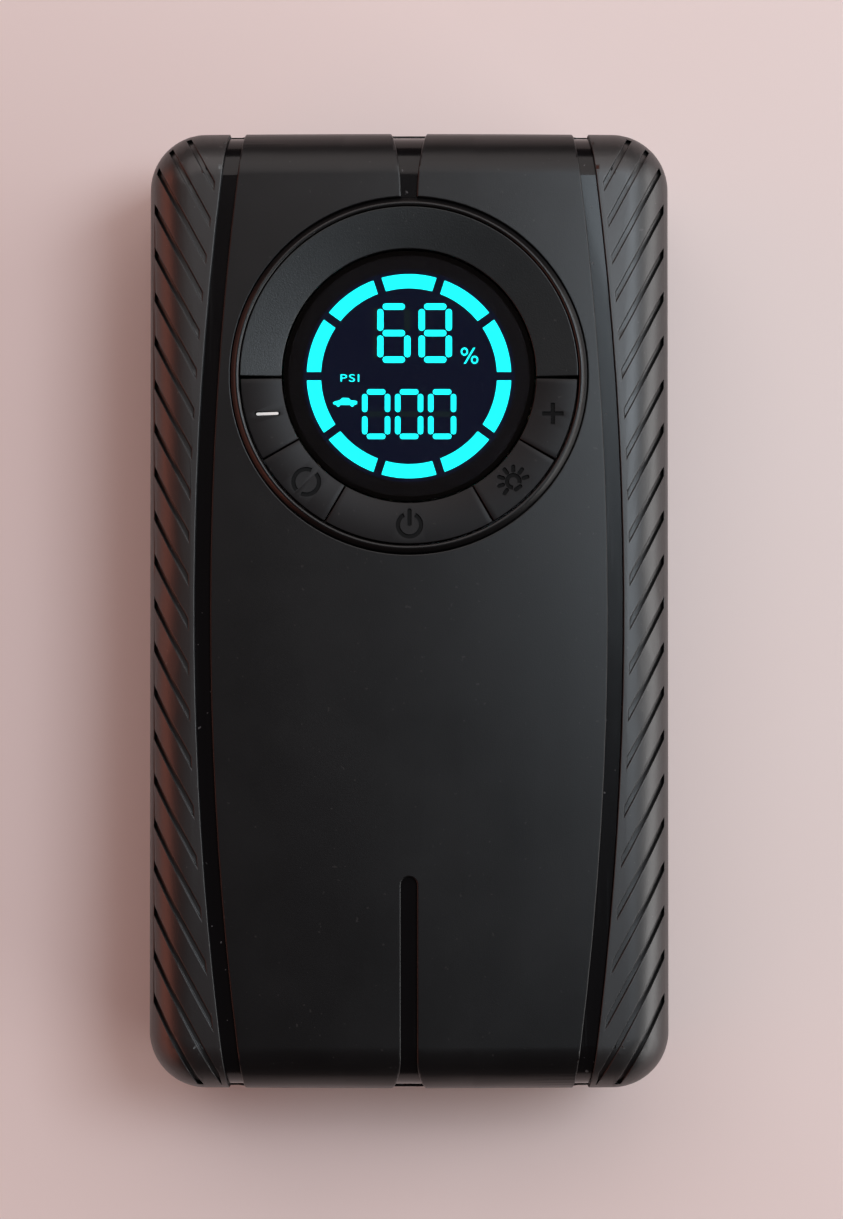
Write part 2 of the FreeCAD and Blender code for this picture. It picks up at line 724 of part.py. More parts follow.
def lamp_outline(gap="0"):
    """The outline of the lamp's lens, or of the hole round it."""
    return rounded(LAMP_ACROSS, PORT_RISE, f"lamp_width + {gap} * 2", f"lamp_height + {gap} * 2",
                   f"((lamp_height / 2 + {gap}) * 0.96)")


USB_BOARD_TOP = f"({PORT_RISE} - usb_a_height / 2)"
USB_C_RISE = f"({USB_BOARD_TOP} + usb_c_height / 2)"


def port_outlines(gap="0"):
    """The outlines of the three sockets behind the covers."""
    grow = f"{gap} * 2"
    return [
        rounded(f"-{PORT_ACROSS}", PORT_RISE, f"jump_width + {grow}", f"jump_height + {grow}", "2"),
        rounded(USB_A_ACROSS, PORT_RISE, f"usb_a_width + {grow}", f"usb_a_height + {grow}", "0.6"),
        rounded(USB_C_ACROSS, USB_C_RISE, f"usb_c_width + {grow}", f"usb_c_height + {grow}",
                "(usb_c_height / 2 - 0.1)"),
    ]


def make_shells(skin_space):
    """Rear and front shell, parted at one level, with their bosses, posts and openings."""
    above, below = new_body("above_parting"), new_body("below_parting")
    block = [rectangle("-pack_width", "pack_width", "-pack_length", "pack_length")]
    pad(above, block, PARTING, f"{TOP} + 5")
    pad(below, block, "-5", PARTING)

    seats = [end_face_tool(f"fascia_seat_{name}", sign, [fascia_outline("trim_gap")], FASCIA_SEAT, f"{HALF_L} + 5")
             for name, sign in (("top", 1), ("bottom", -1))]
    deep = f"({HALF_L} - 8)"
    outlets = [
        end_face_tool("air_hole", 1, [Disc(f"-{AIR_ACROSS}", PORT_RISE, "air_body_radius + trim_gap")],
                      deep, f"{HALF_L} + 5"),
        end_face_tool("lamp_hole", 1, [lamp_outline("trim_gap")], deep, f"{HALF_L} + 5"),
        end_face_tool("port_holes", -1, port_outlines("trim_gap"), deep, f"{HALF_L} + 5"),
    ]

    # front shell: wall, dial well, posts for the main board and bosses for the housing screws
    raised = new_body("front_bosses")
    pad(raised, [Disc(x, y, "boss_radius") for x, y in four_corners("boss_inset", "boss_inset")],
        PARTING, f"{TOP} + 5")
    pad(raised, [Disc(x, y, "post_radius") for x, y in main_board_posts()], MAIN_TOP, f"{TOP} + 5")
    pad(raised, [Disc("0", DIAL_Y, WELL_OUTER)], DIAL_BOARD_TOP, f"{TOP} + 5")
    inner_side = shared("front_boss_blank", raised, UNDER_SKIN)
    wall = cut("front_wall_blank", shared("front_half", OUTER, above), FRONT_CAVITY)
    holes = new_body("front_holes")
    pad(holes, [Disc("0", DIAL_Y, WELL_INNER)], "0", BEZEL_SEAT)
    pad(holes, [Disc("0", DIAL_Y, f"{BEZEL_REACH} + trim_gap")], BEZEL_SEAT, f"{TOP} + 6")
    screw_top = f"({PARTING} + screw_reach + 1)"
    for x, y in four_corners("boss_inset", "boss_inset"):
        pad(holes, [Disc(x, y, "screw_radius + running_gap")], "0", screw_top)
    for x, y in main_board_posts():
        pad(holes, [Disc(x, y, "board_screw_radius + running_gap")], "0", f"{MAIN_TOP} + board_screw_grip")
    for x, y in dial_screw_places():
        pad(holes, [Disc(x, f"{DIAL_Y} + {y}", "board_screw_radius + running_gap")],
            "0", f"{DIAL_BOARD_TOP} + board_screw_grip")
    solid = joined("front_solid", wall, inner_side)
    node(cut("front_shell", solid, skin_space, holes, *seats, *outlets))

    # rear shell: tray, bosses, rests for the ports and the lamp, feet seats and vents
    tray = cut("tray_blank", shared("rear_half", OUTER, below), REAR_CAVITY)
    bosses = new_body("rear_bosses")
    pad(bosses, [Disc(x, y, "boss_radius") for x, y in four_corners("boss_inset", "boss_inset")],
        "foot_stand + rear_wall / 2", PARTING)
    usb_y = f"(-{FASCIA_SEAT} + usb_depth / 2)"
    rests = [rounded(across, usb_y, "rest_width", "rest_length", "1") for across in (USB_A_ACROSS, USB_C_ACROSS)]
    pad(bosses, rests, "foot_stand + rear_wall / 2", f"{USB_BOARD_TOP} - usb_board_thickness")
    jump_y = f"(-{FASCIA_SEAT} + jump_depth - rest_width)"
    pad(bosses, [rounded(f"-{PORT_ACROSS}", jump_y, "jump_width - 4", "rest_width", "1")],
        "foot_stand + rear_wall / 2", f"{PORT_RISE} - jump_height / 2")
    lamp_y = f"({FASCIA_SEAT} - lamp_depth + 2)"
    pad(bosses, [rounded(LAMP_ACROSS, lamp_y, "lamp_width - 8", "3", "1")],
        "foot_stand + rear_wall / 2", f"{PORT_RISE} - lamp_height / 2 + 0.2")
    bosses_blank = shared("rear_boss_blank", bosses, OUTER)
    back = new_body("back_holes")
    for x, y in four_corners("boss_inset", "boss_inset"):
        pad(back, [Disc(x, y, "screw_radius + 0.15")], "0", f"{PARTING} + 1")
        pad(back, [Disc(x, y, "screw_head_radius + 0.3")], "0", "foot_stand + screw_head_sink + screw_head_height")
    for x, y in four_corners("foot_inset", "foot_inset"):
        pad(back, [Disc(x, y, "foot_radius + trim_gap")], "0", "foot_stand + foot_seat")
    vents = new_body("vent_slots", x="motor_across - 8", y=f"{FRAME_BACK} + 4")
    slot = pad(vents, [rounded("0", "0", "vent_length", "vent_width", "(vent_width / 2 - 0.1)")], "0", f"{FLOOR} + 1")
    repeat(vents, slot, "vent_count", "vent_pitch")
    tray_solid = joined("rear_solid", tray, bosses_blank)
    node(cut("rear_shell", tray_solid, back, vents, *seats, *outlets))


def make_screws_and_feet():
    """Housing screws, board screws and rubber feet, each as one group of separate solids."""
    screws = []
    seat = "(foot_stand + screw_head_sink + screw_head_height)"
    for place, (x, y) in enumerate(four_corners("boss_inset", "boss_inset")):
        screw = new_body(f"housing_screw_{place}", x=x, y=y)
        pad(screw, [Disc("0", "0", "screw_head_radius")], f"{seat} - screw_head_height", seat)
        pad(screw, [Disc("0", "0", "screw_radius")], seat, f"{PARTING} + screw_reach")
        pocket(screw, [cross_recess("1.6", "0.5")], f"{seat} - screw_head_height", f"{seat} - 0.8")
        screws.append(screw)
    node(group("housing_screws", screws))

    small = []
    places = [(x, y, MAIN_LOW) for x, y in main_board_posts()]
    places += [(x, f"{DIAL_Y} + {y}", DIAL_BOARD_LOW) for x, y in dial_screw_places()]
    for place, (x, y, under) in enumerate(places):
        screw = new_body(f"board_screw_{place}", x=x, y=y, z=under)
        pad(screw, [Disc("0", "0", "board_screw_head_radius")], "-board_screw_head", "0")
        pad(screw, [Disc("0", "0", "board_screw_radius")], "0", "board_thickness + board_screw_grip - 0.4")
        small.append(screw)
    node(group("board_screws", small))

    feet = []
    for place, (x, y) in enumerate(four_corners("foot_inset", "foot_inset")):
        foot = new_body(f"foot_{place}", x=x, y=y)
        pad(foot, [Disc("0", "0", "foot_radius")], "0", "foot_stand + foot_seat")
        soften(foot, "0.4", lambda edge: edge.BoundBox.ZMax < 0.01)
        feet.append(foot)
    node(group("rubber_feet", feet))


def cross_recess(reach, half):
    """The outline of a cross-head recess."""
    return [(half, half), (half, reach), (f"-{half}", reach), (f"-{half}", half),
            (f"-{reach}", half), (f"-{reach}", f"-{half}"), (f"-{half}", f"-{half}"), (f"-{half}", f"-{reach}"),
            (half, f"-{reach}"), (half, f"-{half}"), (reach, f"-{half}"), (reach, half)]


# ---------------------------------------------------------------- dial

# name: centre of the sector and its angle
SECTORS = {
    "minus_button": ("180 + key_span / 2", "key_span"),
    "mode_button": ("180 + key_span * 1.5", "key_span"),
    "power_button": ("270", "180 - key_span * 4"),
    "light_button": ("360 - key_span * 1.5", "key_span"),
    "plus_button": ("360 - key_span / 2", "key_span"),
}


def dial_body(label, angle=None):
    """A body about the dial's axis, turned so that its own X points along the angle."""
    if angle is None:
        return new_body(label, y=DIAL_Y)
    return new_body(label, y=DIAL_Y, axis=Vector(0, 0, 1), angle=angle)


def sector(label, centre, span, top, outer):
    """A key or the crescent: a ring sector with a dished top and a flange under the bezel."""
    body = dial_body(label, centre)
    flange = f"({KEY_OUTER} + key_flange_reach)"
    outline = [
        (KEY_INNER, KEY_FLANGE_LOW), (flange, KEY_FLANGE_LOW), (flange, KEY_FLANGE_TOP), (outer, KEY_FLANGE_TOP),
        (outer, top), (KEY_INNER, f"{top} - key_dish"),
    ]
    turn(body, [outline], f"{span} - key_gap_angle")
    crest = size(f"{top} - key_dish") - 0.01
    soften(body, "key_edge", lambda edge: edge.BoundBox.ZMin > crest)
    return body


def make_keys():
    """Five keys, each with a nib over its switch."""
    for label, (centre, span) in SECTORS.items():
        key = sector(label, centre, span, KEY_TOP, KEY_OUTER)
        pad(key, [Disc(KEY_MIDDLE, "0", "nib_radius")], NIB_LOW, f"{KEY_FLANGE_LOW} + 0.1")
        node(key)


def make_dial():
    """Bezel, crescent, window, display, dial board, switches and key mat."""
    bezel = dial_body("bezel_ring")
    inner = f"({BEZEL_OUTER} - bezel_width)"
    crest = f"({TOP} + bezel_rise)"
    crest_radius = f"({inner} + bezel_width * 0.3)"
    turn(bezel, [[
        (inner, BEZEL_SEAT), (BEZEL_REACH, BEZEL_SEAT), (BEZEL_REACH, f"{BEZEL_SEAT} + bezel_flange_thickness"),
        (BEZEL_OUTER, f"{BEZEL_SEAT} + bezel_flange_thickness"),
        (BEZEL_OUTER, f"{TOP} - bezel_rise", "bezel_width * 1.6"),
        (crest_radius, crest, "bezel_width"), (inner, f"{crest} - bezel_width * 0.12"),
    ]])
    node(bezel)

    crescent = sector("dial_crescent", "90", "180", f"{KEY_TOP} + crescent_step", f"({KEY_OUTER} + key_slack / 2)")
    legs = [Disc(f"{KEY_MIDDLE} * cos({angle})", f"{KEY_MIDDLE} * sin({angle})", "leg_radius")
            for angle in (-60, 0, 60)]
    pad(crescent, legs, DIAL_BOARD_TOP, f"{KEY_FLANGE_LOW} + 0.1")
    node(crescent)

    window = dial_body("display_window")
    pad(window, [Disc("0", "0", WINDOW_RADIUS)], WINDOW_LOW, WINDOW_TOP)
    soften(window, "0.15", lambda edge: edge.BoundBox.ZMin > size(WINDOW_TOP) - 0.01, kind="Chamfer")
    node(window)

    display = dial_body("display_module")
    face = f"({WINDOW_LOW} - window_air)"
    turn(display, [[
        ("0", DIAL_BOARD_TOP), (WINDOW_RADIUS, DIAL_BOARD_TOP), (WINDOW_RADIUS, WINDOW_LOW),
        (f"{WINDOW_RADIUS} - window_land", WINDOW_LOW), (f"{WINDOW_RADIUS} - window_land", face), ("0", face),
    ]])
    node(display)

    board = dial_body("display_board")
    pad(board, [Disc("0", "0", f"{WELL_OUTER} - trim_gap")], DIAL_BOARD_LOW, DIAL_BOARD_TOP)
    pocket(board, [Disc(x, y, "board_screw_radius + running_gap") for x, y in dial_screw_places()],
           DIAL_BOARD_LOW, DIAL_BOARD_TOP)
    node(board)

    switches = []
    mat = dial_body("key_mat", "270")
    mat_top = f"({DIAL_BOARD_TOP} + mat_thickness)"
    turn(mat, [[(f"{KEY_INNER}", DIAL_BOARD_TOP), (f"{WELL_INNER} - key_slack", DIAL_BOARD_TOP),
                (f"{WELL_INNER} - key_slack", mat_top), (f"{KEY_INNER}", mat_top)]], "172")
    holes = []
    for label, (centre, _) in SECTORS.items():
        switch = dial_body(label.replace("button", "switch"), centre)
        side = "switch_side / 2"
        square = rectangle(f"{KEY_MIDDLE} - {side}", f"{KEY_MIDDLE} + {side}", f"-{side}", side)
        pad(switch, [square], DIAL_BOARD_TOP, f"{DIAL_BOARD_TOP} + switch_body")
        pad(switch, [Disc(KEY_MIDDLE, "0", "plunger_radius")], f"{DIAL_BOARD_TOP} + switch_body",
            f"{DIAL_BOARD_TOP} + switch_body + plunger_height")
        switches.append(switch)
        holes.append(Disc(f"{KEY_MIDDLE} * cos({centre} - 270)", f"{KEY_MIDDLE} * sin({centre} - 270)",
                          "mat_hole_radius"))
    pocket(mat, holes, DIAL_BOARD_TOP, mat_top)
    node(mat)
    node(group("tact_switches", switches))


# ---------------------------------------------------------------- end fascias, outlets and ports

def make_top_end():
    """Fascia of the display end with the air outlet and the lamp."""
    fascia = new_body("top_fascia")
    pad(fascia, [fascia_outline()], FASCIA_SEAT, FASCIA_FACE, plane="XZ")
    face = size(FASCIA_FACE) - 0.01
    soften(fascia, "fascia_proud", lambda edge: edge.BoundBox.YMin > face)
    pocket(fascia, [lamp_outline("trim_gap")], FASCIA_SEAT, FASCIA_FACE, plane="XZ")
    pocket(fascia, [Disc(f"-{AIR_ACROSS}", PORT_RISE, "air_body_radius + 0.8")], FASCIA_SEAT, FASCIA_FACE, plane="XZ")
    node(fascia)

    # threaded outlet: round body with an inner flange, a bore for the hose and a barb for the tube
    mouth = f"({FASCIA_FACE} - air_face_sink)"
    outlet = new_body("air_socket", x=f"-{AIR_ACROSS}", y=mouth, z=PORT_RISE, axis=Vector(1, 0, 0), angle="90")
    flange_low = f"({mouth} - {HALF_L} + {SHELL_INSET} + trim_gap)"
    flange_high = f"({flange_low} + air_flange_thickness)"
    tail = "(air_body_length + barb_length)"
    turn(outlet, [[
        ("air_thread_radius", "0"), ("air_body_radius", "0"), ("air_body_radius", flange_low),
        ("air_flange_radius", flange_low), ("air_flange_radius", flange_high), ("air_body_radius", flange_high),
        ("air_body_radius", "air_body_length"), ("barb_radius - 0.4", "air_body_length"),
        ("barb_radius - 0.4", f"{tail} - 2.4"), ("barb_radius", f"{tail} - 2.4"), ("barb_radius - 0.5", tail),
        ("air_bore_radius", tail), ("air_bore_radius", "air_thread_length"),
        ("air_thread_radius", "air_thread_length"),
    ]])
    node(outlet)

    # lamp: lens, reflector with two cups, and its board
    lens = new_body("flashlight_lens")
    lens_back = f"({FASCIA_FACE} - lens_thickness)"
    pad(lens, [lamp_outline()], lens_back, f"{FASCIA_FACE} - 0.1", plane="XZ")
    node(lens)
    reflector_back = f"({lens_back} - lamp_depth)"
    cups = [f"{LAMP_ACROSS} + lamp_cup_pitch * {step}" for step in (-1, 0, 1)]
    reflector = new_body("reflector_blank")
    pad(reflector, [lamp_outline("-0.2")], reflector_back, f"{lens_back} - trim_gap", plane="XZ")
    bowls = []
    for place, x in enumerate(cups):
        bowl = new_body(f"reflector_bowl_{place}", x=x, y=reflector_back, z=PORT_RISE, **ALONG_Y)
        rim, throat = "lamp_cup_radius", "(lamp_led_radius + 0.2)"
        turn(bowl, [[("0", "-1"), (throat, "-1"), (throat, "1", "-lamp_depth"), (rim, "lamp_depth - 0.2"),
                     (rim, "lamp_depth + 1"), ("0", "lamp_depth + 1")]])
        bowls.append(bowl)
    node(cut("flashlight_reflector", reflector, *bowls))
    board = new_body("flashlight_board")
    pad(board, [rounded(LAMP_ACROSS, PORT_RISE, "lamp_width - 1", "lamp_height - 1", "1")],
        f"{reflector_back} - board_thickness", reflector_back, plane="XZ")
    pad(board, [Disc(x, PORT_RISE, "lamp_led_radius") for x in cups], reflector_back, f"{reflector_back} + 1.2",
        plane="XZ")
    node(board)


def make_cover(label, sign, plugs):
    """A rubber cover with its plugs, and the strap end that it hinges on."""
    across = f"({sign}{PORT_ACROSS})"
    back = f"(-{FASCIA_SEAT} - trim_gap)"
    face = f"(-{FASCIA_FACE} + trim_gap)"
    cover = new_body(f"{label}_cover")
    pad(cover, [rounded(across, PORT_RISE, COVER_WIDTH, COVER_HEIGHT, "cover_round")], face, back, plane="XZ")
    outer = size(face) + 0.01
    soften(cover, "0.3", lambda edge: edge.BoundBox.YMax < outer)
    pad(cover, plugs, back, f"{back} + plug_reach", plane="XZ")
    # shallow grip ridges along the top edge
    ridge_z = f"({COVER_HIGH} - 2.6)"
    ridge = pocket(cover, [rectangle(f"{across} - 5", f"{across} + 5", ridge_z, f"{ridge_z} + 0.7")],
                   face, f"{face} + 0.4", plane="XZ")
    row = repeat(cover, ridge, "2", "1.4", axis="Z_Axis")
    row.Reversed = True
    node(cover)
    tab = new_body(f"{label}_cover_tab")
    middle = f"({TAB_LOW} + cover_tab_height / 2)"
    pad(tab, [rounded(across, middle, f"{COVER_WIDTH} - 4", "cover_tab_height", "0.6")], face,
        f"-{FASCIA_SEAT}", plane="XZ")
    node(tab)


def make_bottom_end():
    """Fascia of the other end, the jump socket and the USB sockets behind two covers."""
    fascia = new_body("bottom_fascia")
    pad(fascia, [fascia_outline()], f"-{FASCIA_FACE}", f"-{FASCIA_SEAT}", plane="XZ")
    face = -size(FASCIA_FACE) + 0.01
    soften(fascia, "fascia_proud", lambda edge: edge.BoundBox.YMax < face)
    for across in (f"-{PORT_ACROSS}", PORT_ACROSS):
        opening = rounded(across, PORT_RISE, f"{COVER_WIDTH} + cover_gap * 2", f"{COVER_HEIGHT} + cover_gap * 2",
                          "cover_round + cover_gap")
        tab_middle = f"({TAB_LOW} + cover_tab_height / 2)"
        tab_room = rounded(across, tab_middle, f"{COVER_WIDTH} - 4 + cover_gap * 2",
                           "cover_tab_height + cover_gap * 2", "0.8")
        pocket(fascia, [opening], f"-{FASCIA_FACE}", f"-{FASCIA_SEAT}", plane="XZ")
        pocket(fascia, [tab_room], f"-{FASCIA_FACE}", f"-{FASCIA_SEAT}", plane="XZ")
        # finger scoop over each cover
        pocket(fascia, [rounded(across, f"{COVER_HIGH}", "12", "2.4", "1")], f"-{FASCIA_FACE}",
               f"-{FASCIA_FACE} + 1", plane="XZ")
    node(fascia)

    wells = [f"-{PORT_ACROSS} + contact_pitch / 2 * {side}" for side in (-1, 1)]
    socket = new_body("jump_socket")
    jump, usb_a, usb_c = port_outlines()
    back = f"(-{FASCIA_SEAT} + jump_depth)"
    pad(socket, [jump], f"-{FASCIA_SEAT}", back, plane="XZ")
    pocket(socket, [Disc(x, PORT_RISE, "contact_radius + running_gap") for x in wells],
           f"-{FASCIA_SEAT}", back, plane="XZ")
    node(socket)
    contacts = []
    for place, x in enumerate(wells):
        contact = new_body(f"jump_contact_{place}")
        mouth = f"(-{FASCIA_SEAT} + contact_sink)"
        pad(contact, [Disc(x, PORT_RISE, "contact_radius")], mouth, f"{back} - 0.5", plane="XZ")
        pocket(contact, [Disc(x, PORT_RISE, "contact_bore_radius")], mouth, f"{mouth} + contact_bore_length",
               plane="XZ")
        contacts.append(contact)
    node(group("jump_contacts", contacts))
    leads = []
    for place, x in enumerate(wells):
        lead = new_body(f"battery_lead_{place}")
        pad(lead, [Disc(x, PORT_RISE, "lead_radius")], f"{back} - 0.5", BATTERY_BACK, plane="XZ")
        leads.append(lead)
    node(group("battery_leads", leads))

    usb_back = f"(-{FASCIA_SEAT} + usb_depth)"
    for label, outline, width, height, across, rise, tongue in (
            ("usb_a_socket", usb_a, "usb_a_width", "usb_a_height", USB_A_ACROSS, PORT_RISE, "usb_a_tongue"),
            ("usb_c_socket", usb_c, "usb_c_width", "usb_c_height", USB_C_ACROSS, USB_C_RISE, "usb_c_tongue")):
        shell = new_body(label)
        pad(shell, [outline], f"-{FASCIA_SEAT}", usb_back, plane="XZ")
        corner = "0.4" if label == "usb_a_socket" else f"({height} / 2 - usb_wall - 0.1)"
        inner = rounded(across, rise, f"{width} - usb_wall * 2", f"{height} - usb_wall * 2", corner)
        pocket(shell, [inner], f"-{FASCIA_SEAT}", f"{usb_back} - 1", plane="XZ")
        pad(shell, [rectangle(f"{across} - {width} * 0.38", f"{across} + {width} * 0.38",
                              f"{rise} - {tongue} / 2", f"{rise} + {tongue} / 2")],
            f"-{FASCIA_SEAT} + 1.8", f"{usb_back} - 1", plane="XZ")
        node(shell)
    board = new_body("usb_board")
    left, right = f"({USB_A_ACROSS} - usb_a_width / 2 - 1)", f"({USB_C_ACROSS} + usb_c_width / 2 + 2)"
    front_wall = f"(-{HALF_L} + {SHELL_INSET} + 0.2)"
    pad(board, [rectangle(left, right, front_wall, f"{usb_back} + 4")],
        f"{USB_BOARD_TOP} - usb_board_thickness", USB_BOARD_TOP)
    node(board)

    plug = "cover_gap * 2"
    make_cover("jump", "-", [Disc(x, PORT_RISE, "contact_radius - 1") for x in wells])
    make_cover("usb", "", [
        rounded(USB_A_ACROSS, PORT_RISE, f"usb_a_width - usb_wall * 2 - {plug}",
                f"usb_a_height - usb_wall * 2 - {plug} * 2", "0.4"),
        rounded(USB_C_ACROSS, USB_C_RISE, f"usb_c_width - usb_wall * 2 - {plug} - 0.8",
                "0.9", "0.3"),
    ])


# ---------------------------------------------------------------- inside

def make_power():
    """Main board with its parts, the battery cells and their straps."""
    board = new_body("main_board")
    half = MAIN_HALF
    pad(board, [rectangle(f"-{half}", half, MAIN_BACK, MAIN_FRONT)], MAIN_LOW, MAIN_TOP)
    pocket(board, [Disc(x, y, "board_screw_radius + running_gap") for x, y in main_board_posts()], MAIN_LOW, MAIN_TOP)
    node(board)

    parts = []
    bay = f"(({BATTERY_RIGHT} + {MAIN_HALF}) / 2)"
    length = f"({MAIN_FRONT} - {MAIN_BACK})"
    relay = new_body("starter_relay")
    pad(relay, [rounded(bay, f"{MAIN_BACK} + {length} * relay_place", "relay_width", "relay_depth", "relay_round")],
        f"{MAIN_LOW} - relay_height", MAIN_LOW)
    parts.append(relay)
    for step in (-1, 0, 1):
        capacitor = new_body(f"capacitor_{step + 1}")
        pad(capacitor, [Disc(f"{bay} + capacitor_pitch * {step}", f"{MAIN_BACK} + {length} * capacitor_place",
                             "capacitor_radius")], f"{MAIN_LOW} - capacitor_height", MAIN_LOW)
        parts.append(capacitor)
    coil = new_body("power_coil")
    pad(coil, [rounded(bay, f"{MAIN_BACK} + {length} * coil_place", "coil_side", "coil_side", "coil_round")],
        f"{MAIN_LOW} - coil_height", MAIN_LOW)
    parts.append(coil)
    node(group("main_board_parts", parts))

    cells = []
    for place in range(int(size("cell_count"))):
        cell = new_body(f"cell_{place}")
        low, high = f"({CELL_LOW} + {CELL_PITCH} * {place})", f"({CELL_LOW} + {CELL_PITCH} * {place + 1} - cell_gap)"
        pad(cell, [rectangle(BATTERY_LEFT, BATTERY_RIGHT, BATTERY_BACK, BATTERY_FRONT)], low, high)
        soften(cell, f"({CELL_PITCH} - cell_gap) / 3", lengthwise)
        cells.append(cell)
    node(group("battery_cells", cells))

    straps = []
    for place, share in enumerate((0.2, 0.8)):
        strap = new_body(f"battery_strap_{place}")
        low = f"({BATTERY_BACK} + ({BATTERY_FRONT} - {BATTERY_BACK}) * {share} - strap_width / 2)"
        outer = rectangle(f"{BATTERY_LEFT} - strap_thickness", f"{BATTERY_RIGHT} + strap_thickness",
                          FLOOR, f"{BATTERY_TOP} + strap_thickness")
        inner = rectangle(BATTERY_LEFT, BATTERY_RIGHT, CELL_LOW, BATTERY_TOP)
        pad(strap, [outer, inner], low, f"{low} + strap_width", plane="XZ")
        straps.append(strap)
    node(group("battery_straps", straps))


def make_gear(label, x, teeth, back, front, bore):
    """A spur gear about an axis along Y. The bore is a list with its radius, or an empty one."""
    gear = new_body(label, x=x, y=back, z=PUMP_Z, axis=Vector(1, 0, 0), angle="-90")
    pitch = f"({GEAR_MODULE} * {teeth} / 2)"
    root, tip = f"({pitch} - {GEAR_MODULE} * 1.25)", f"({pitch} + {GEAR_MODULE})"
    width = f"({front} - {back})"
    pad(gear, [Disc("0", "0", root)] + [Disc("0", "0", radius) for radius in bore], "0", width)
    half = f"({GEAR_MODULE} * 0.95)"
    tooth = pad(gear, [[(f"{root} - 0.3", f"-{half} * 0.9"), (pitch, f"-{half} * 0.7"), (tip, f"-{half} * 0.3"),
                        (tip, f"{half} * 0.3"), (pitch, f"{half} * 0.7"), (f"{root} - 0.3", f"{half} * 0.9")]],
                "0", width)
    repeat_round(gear, tooth, teeth)
    return gear


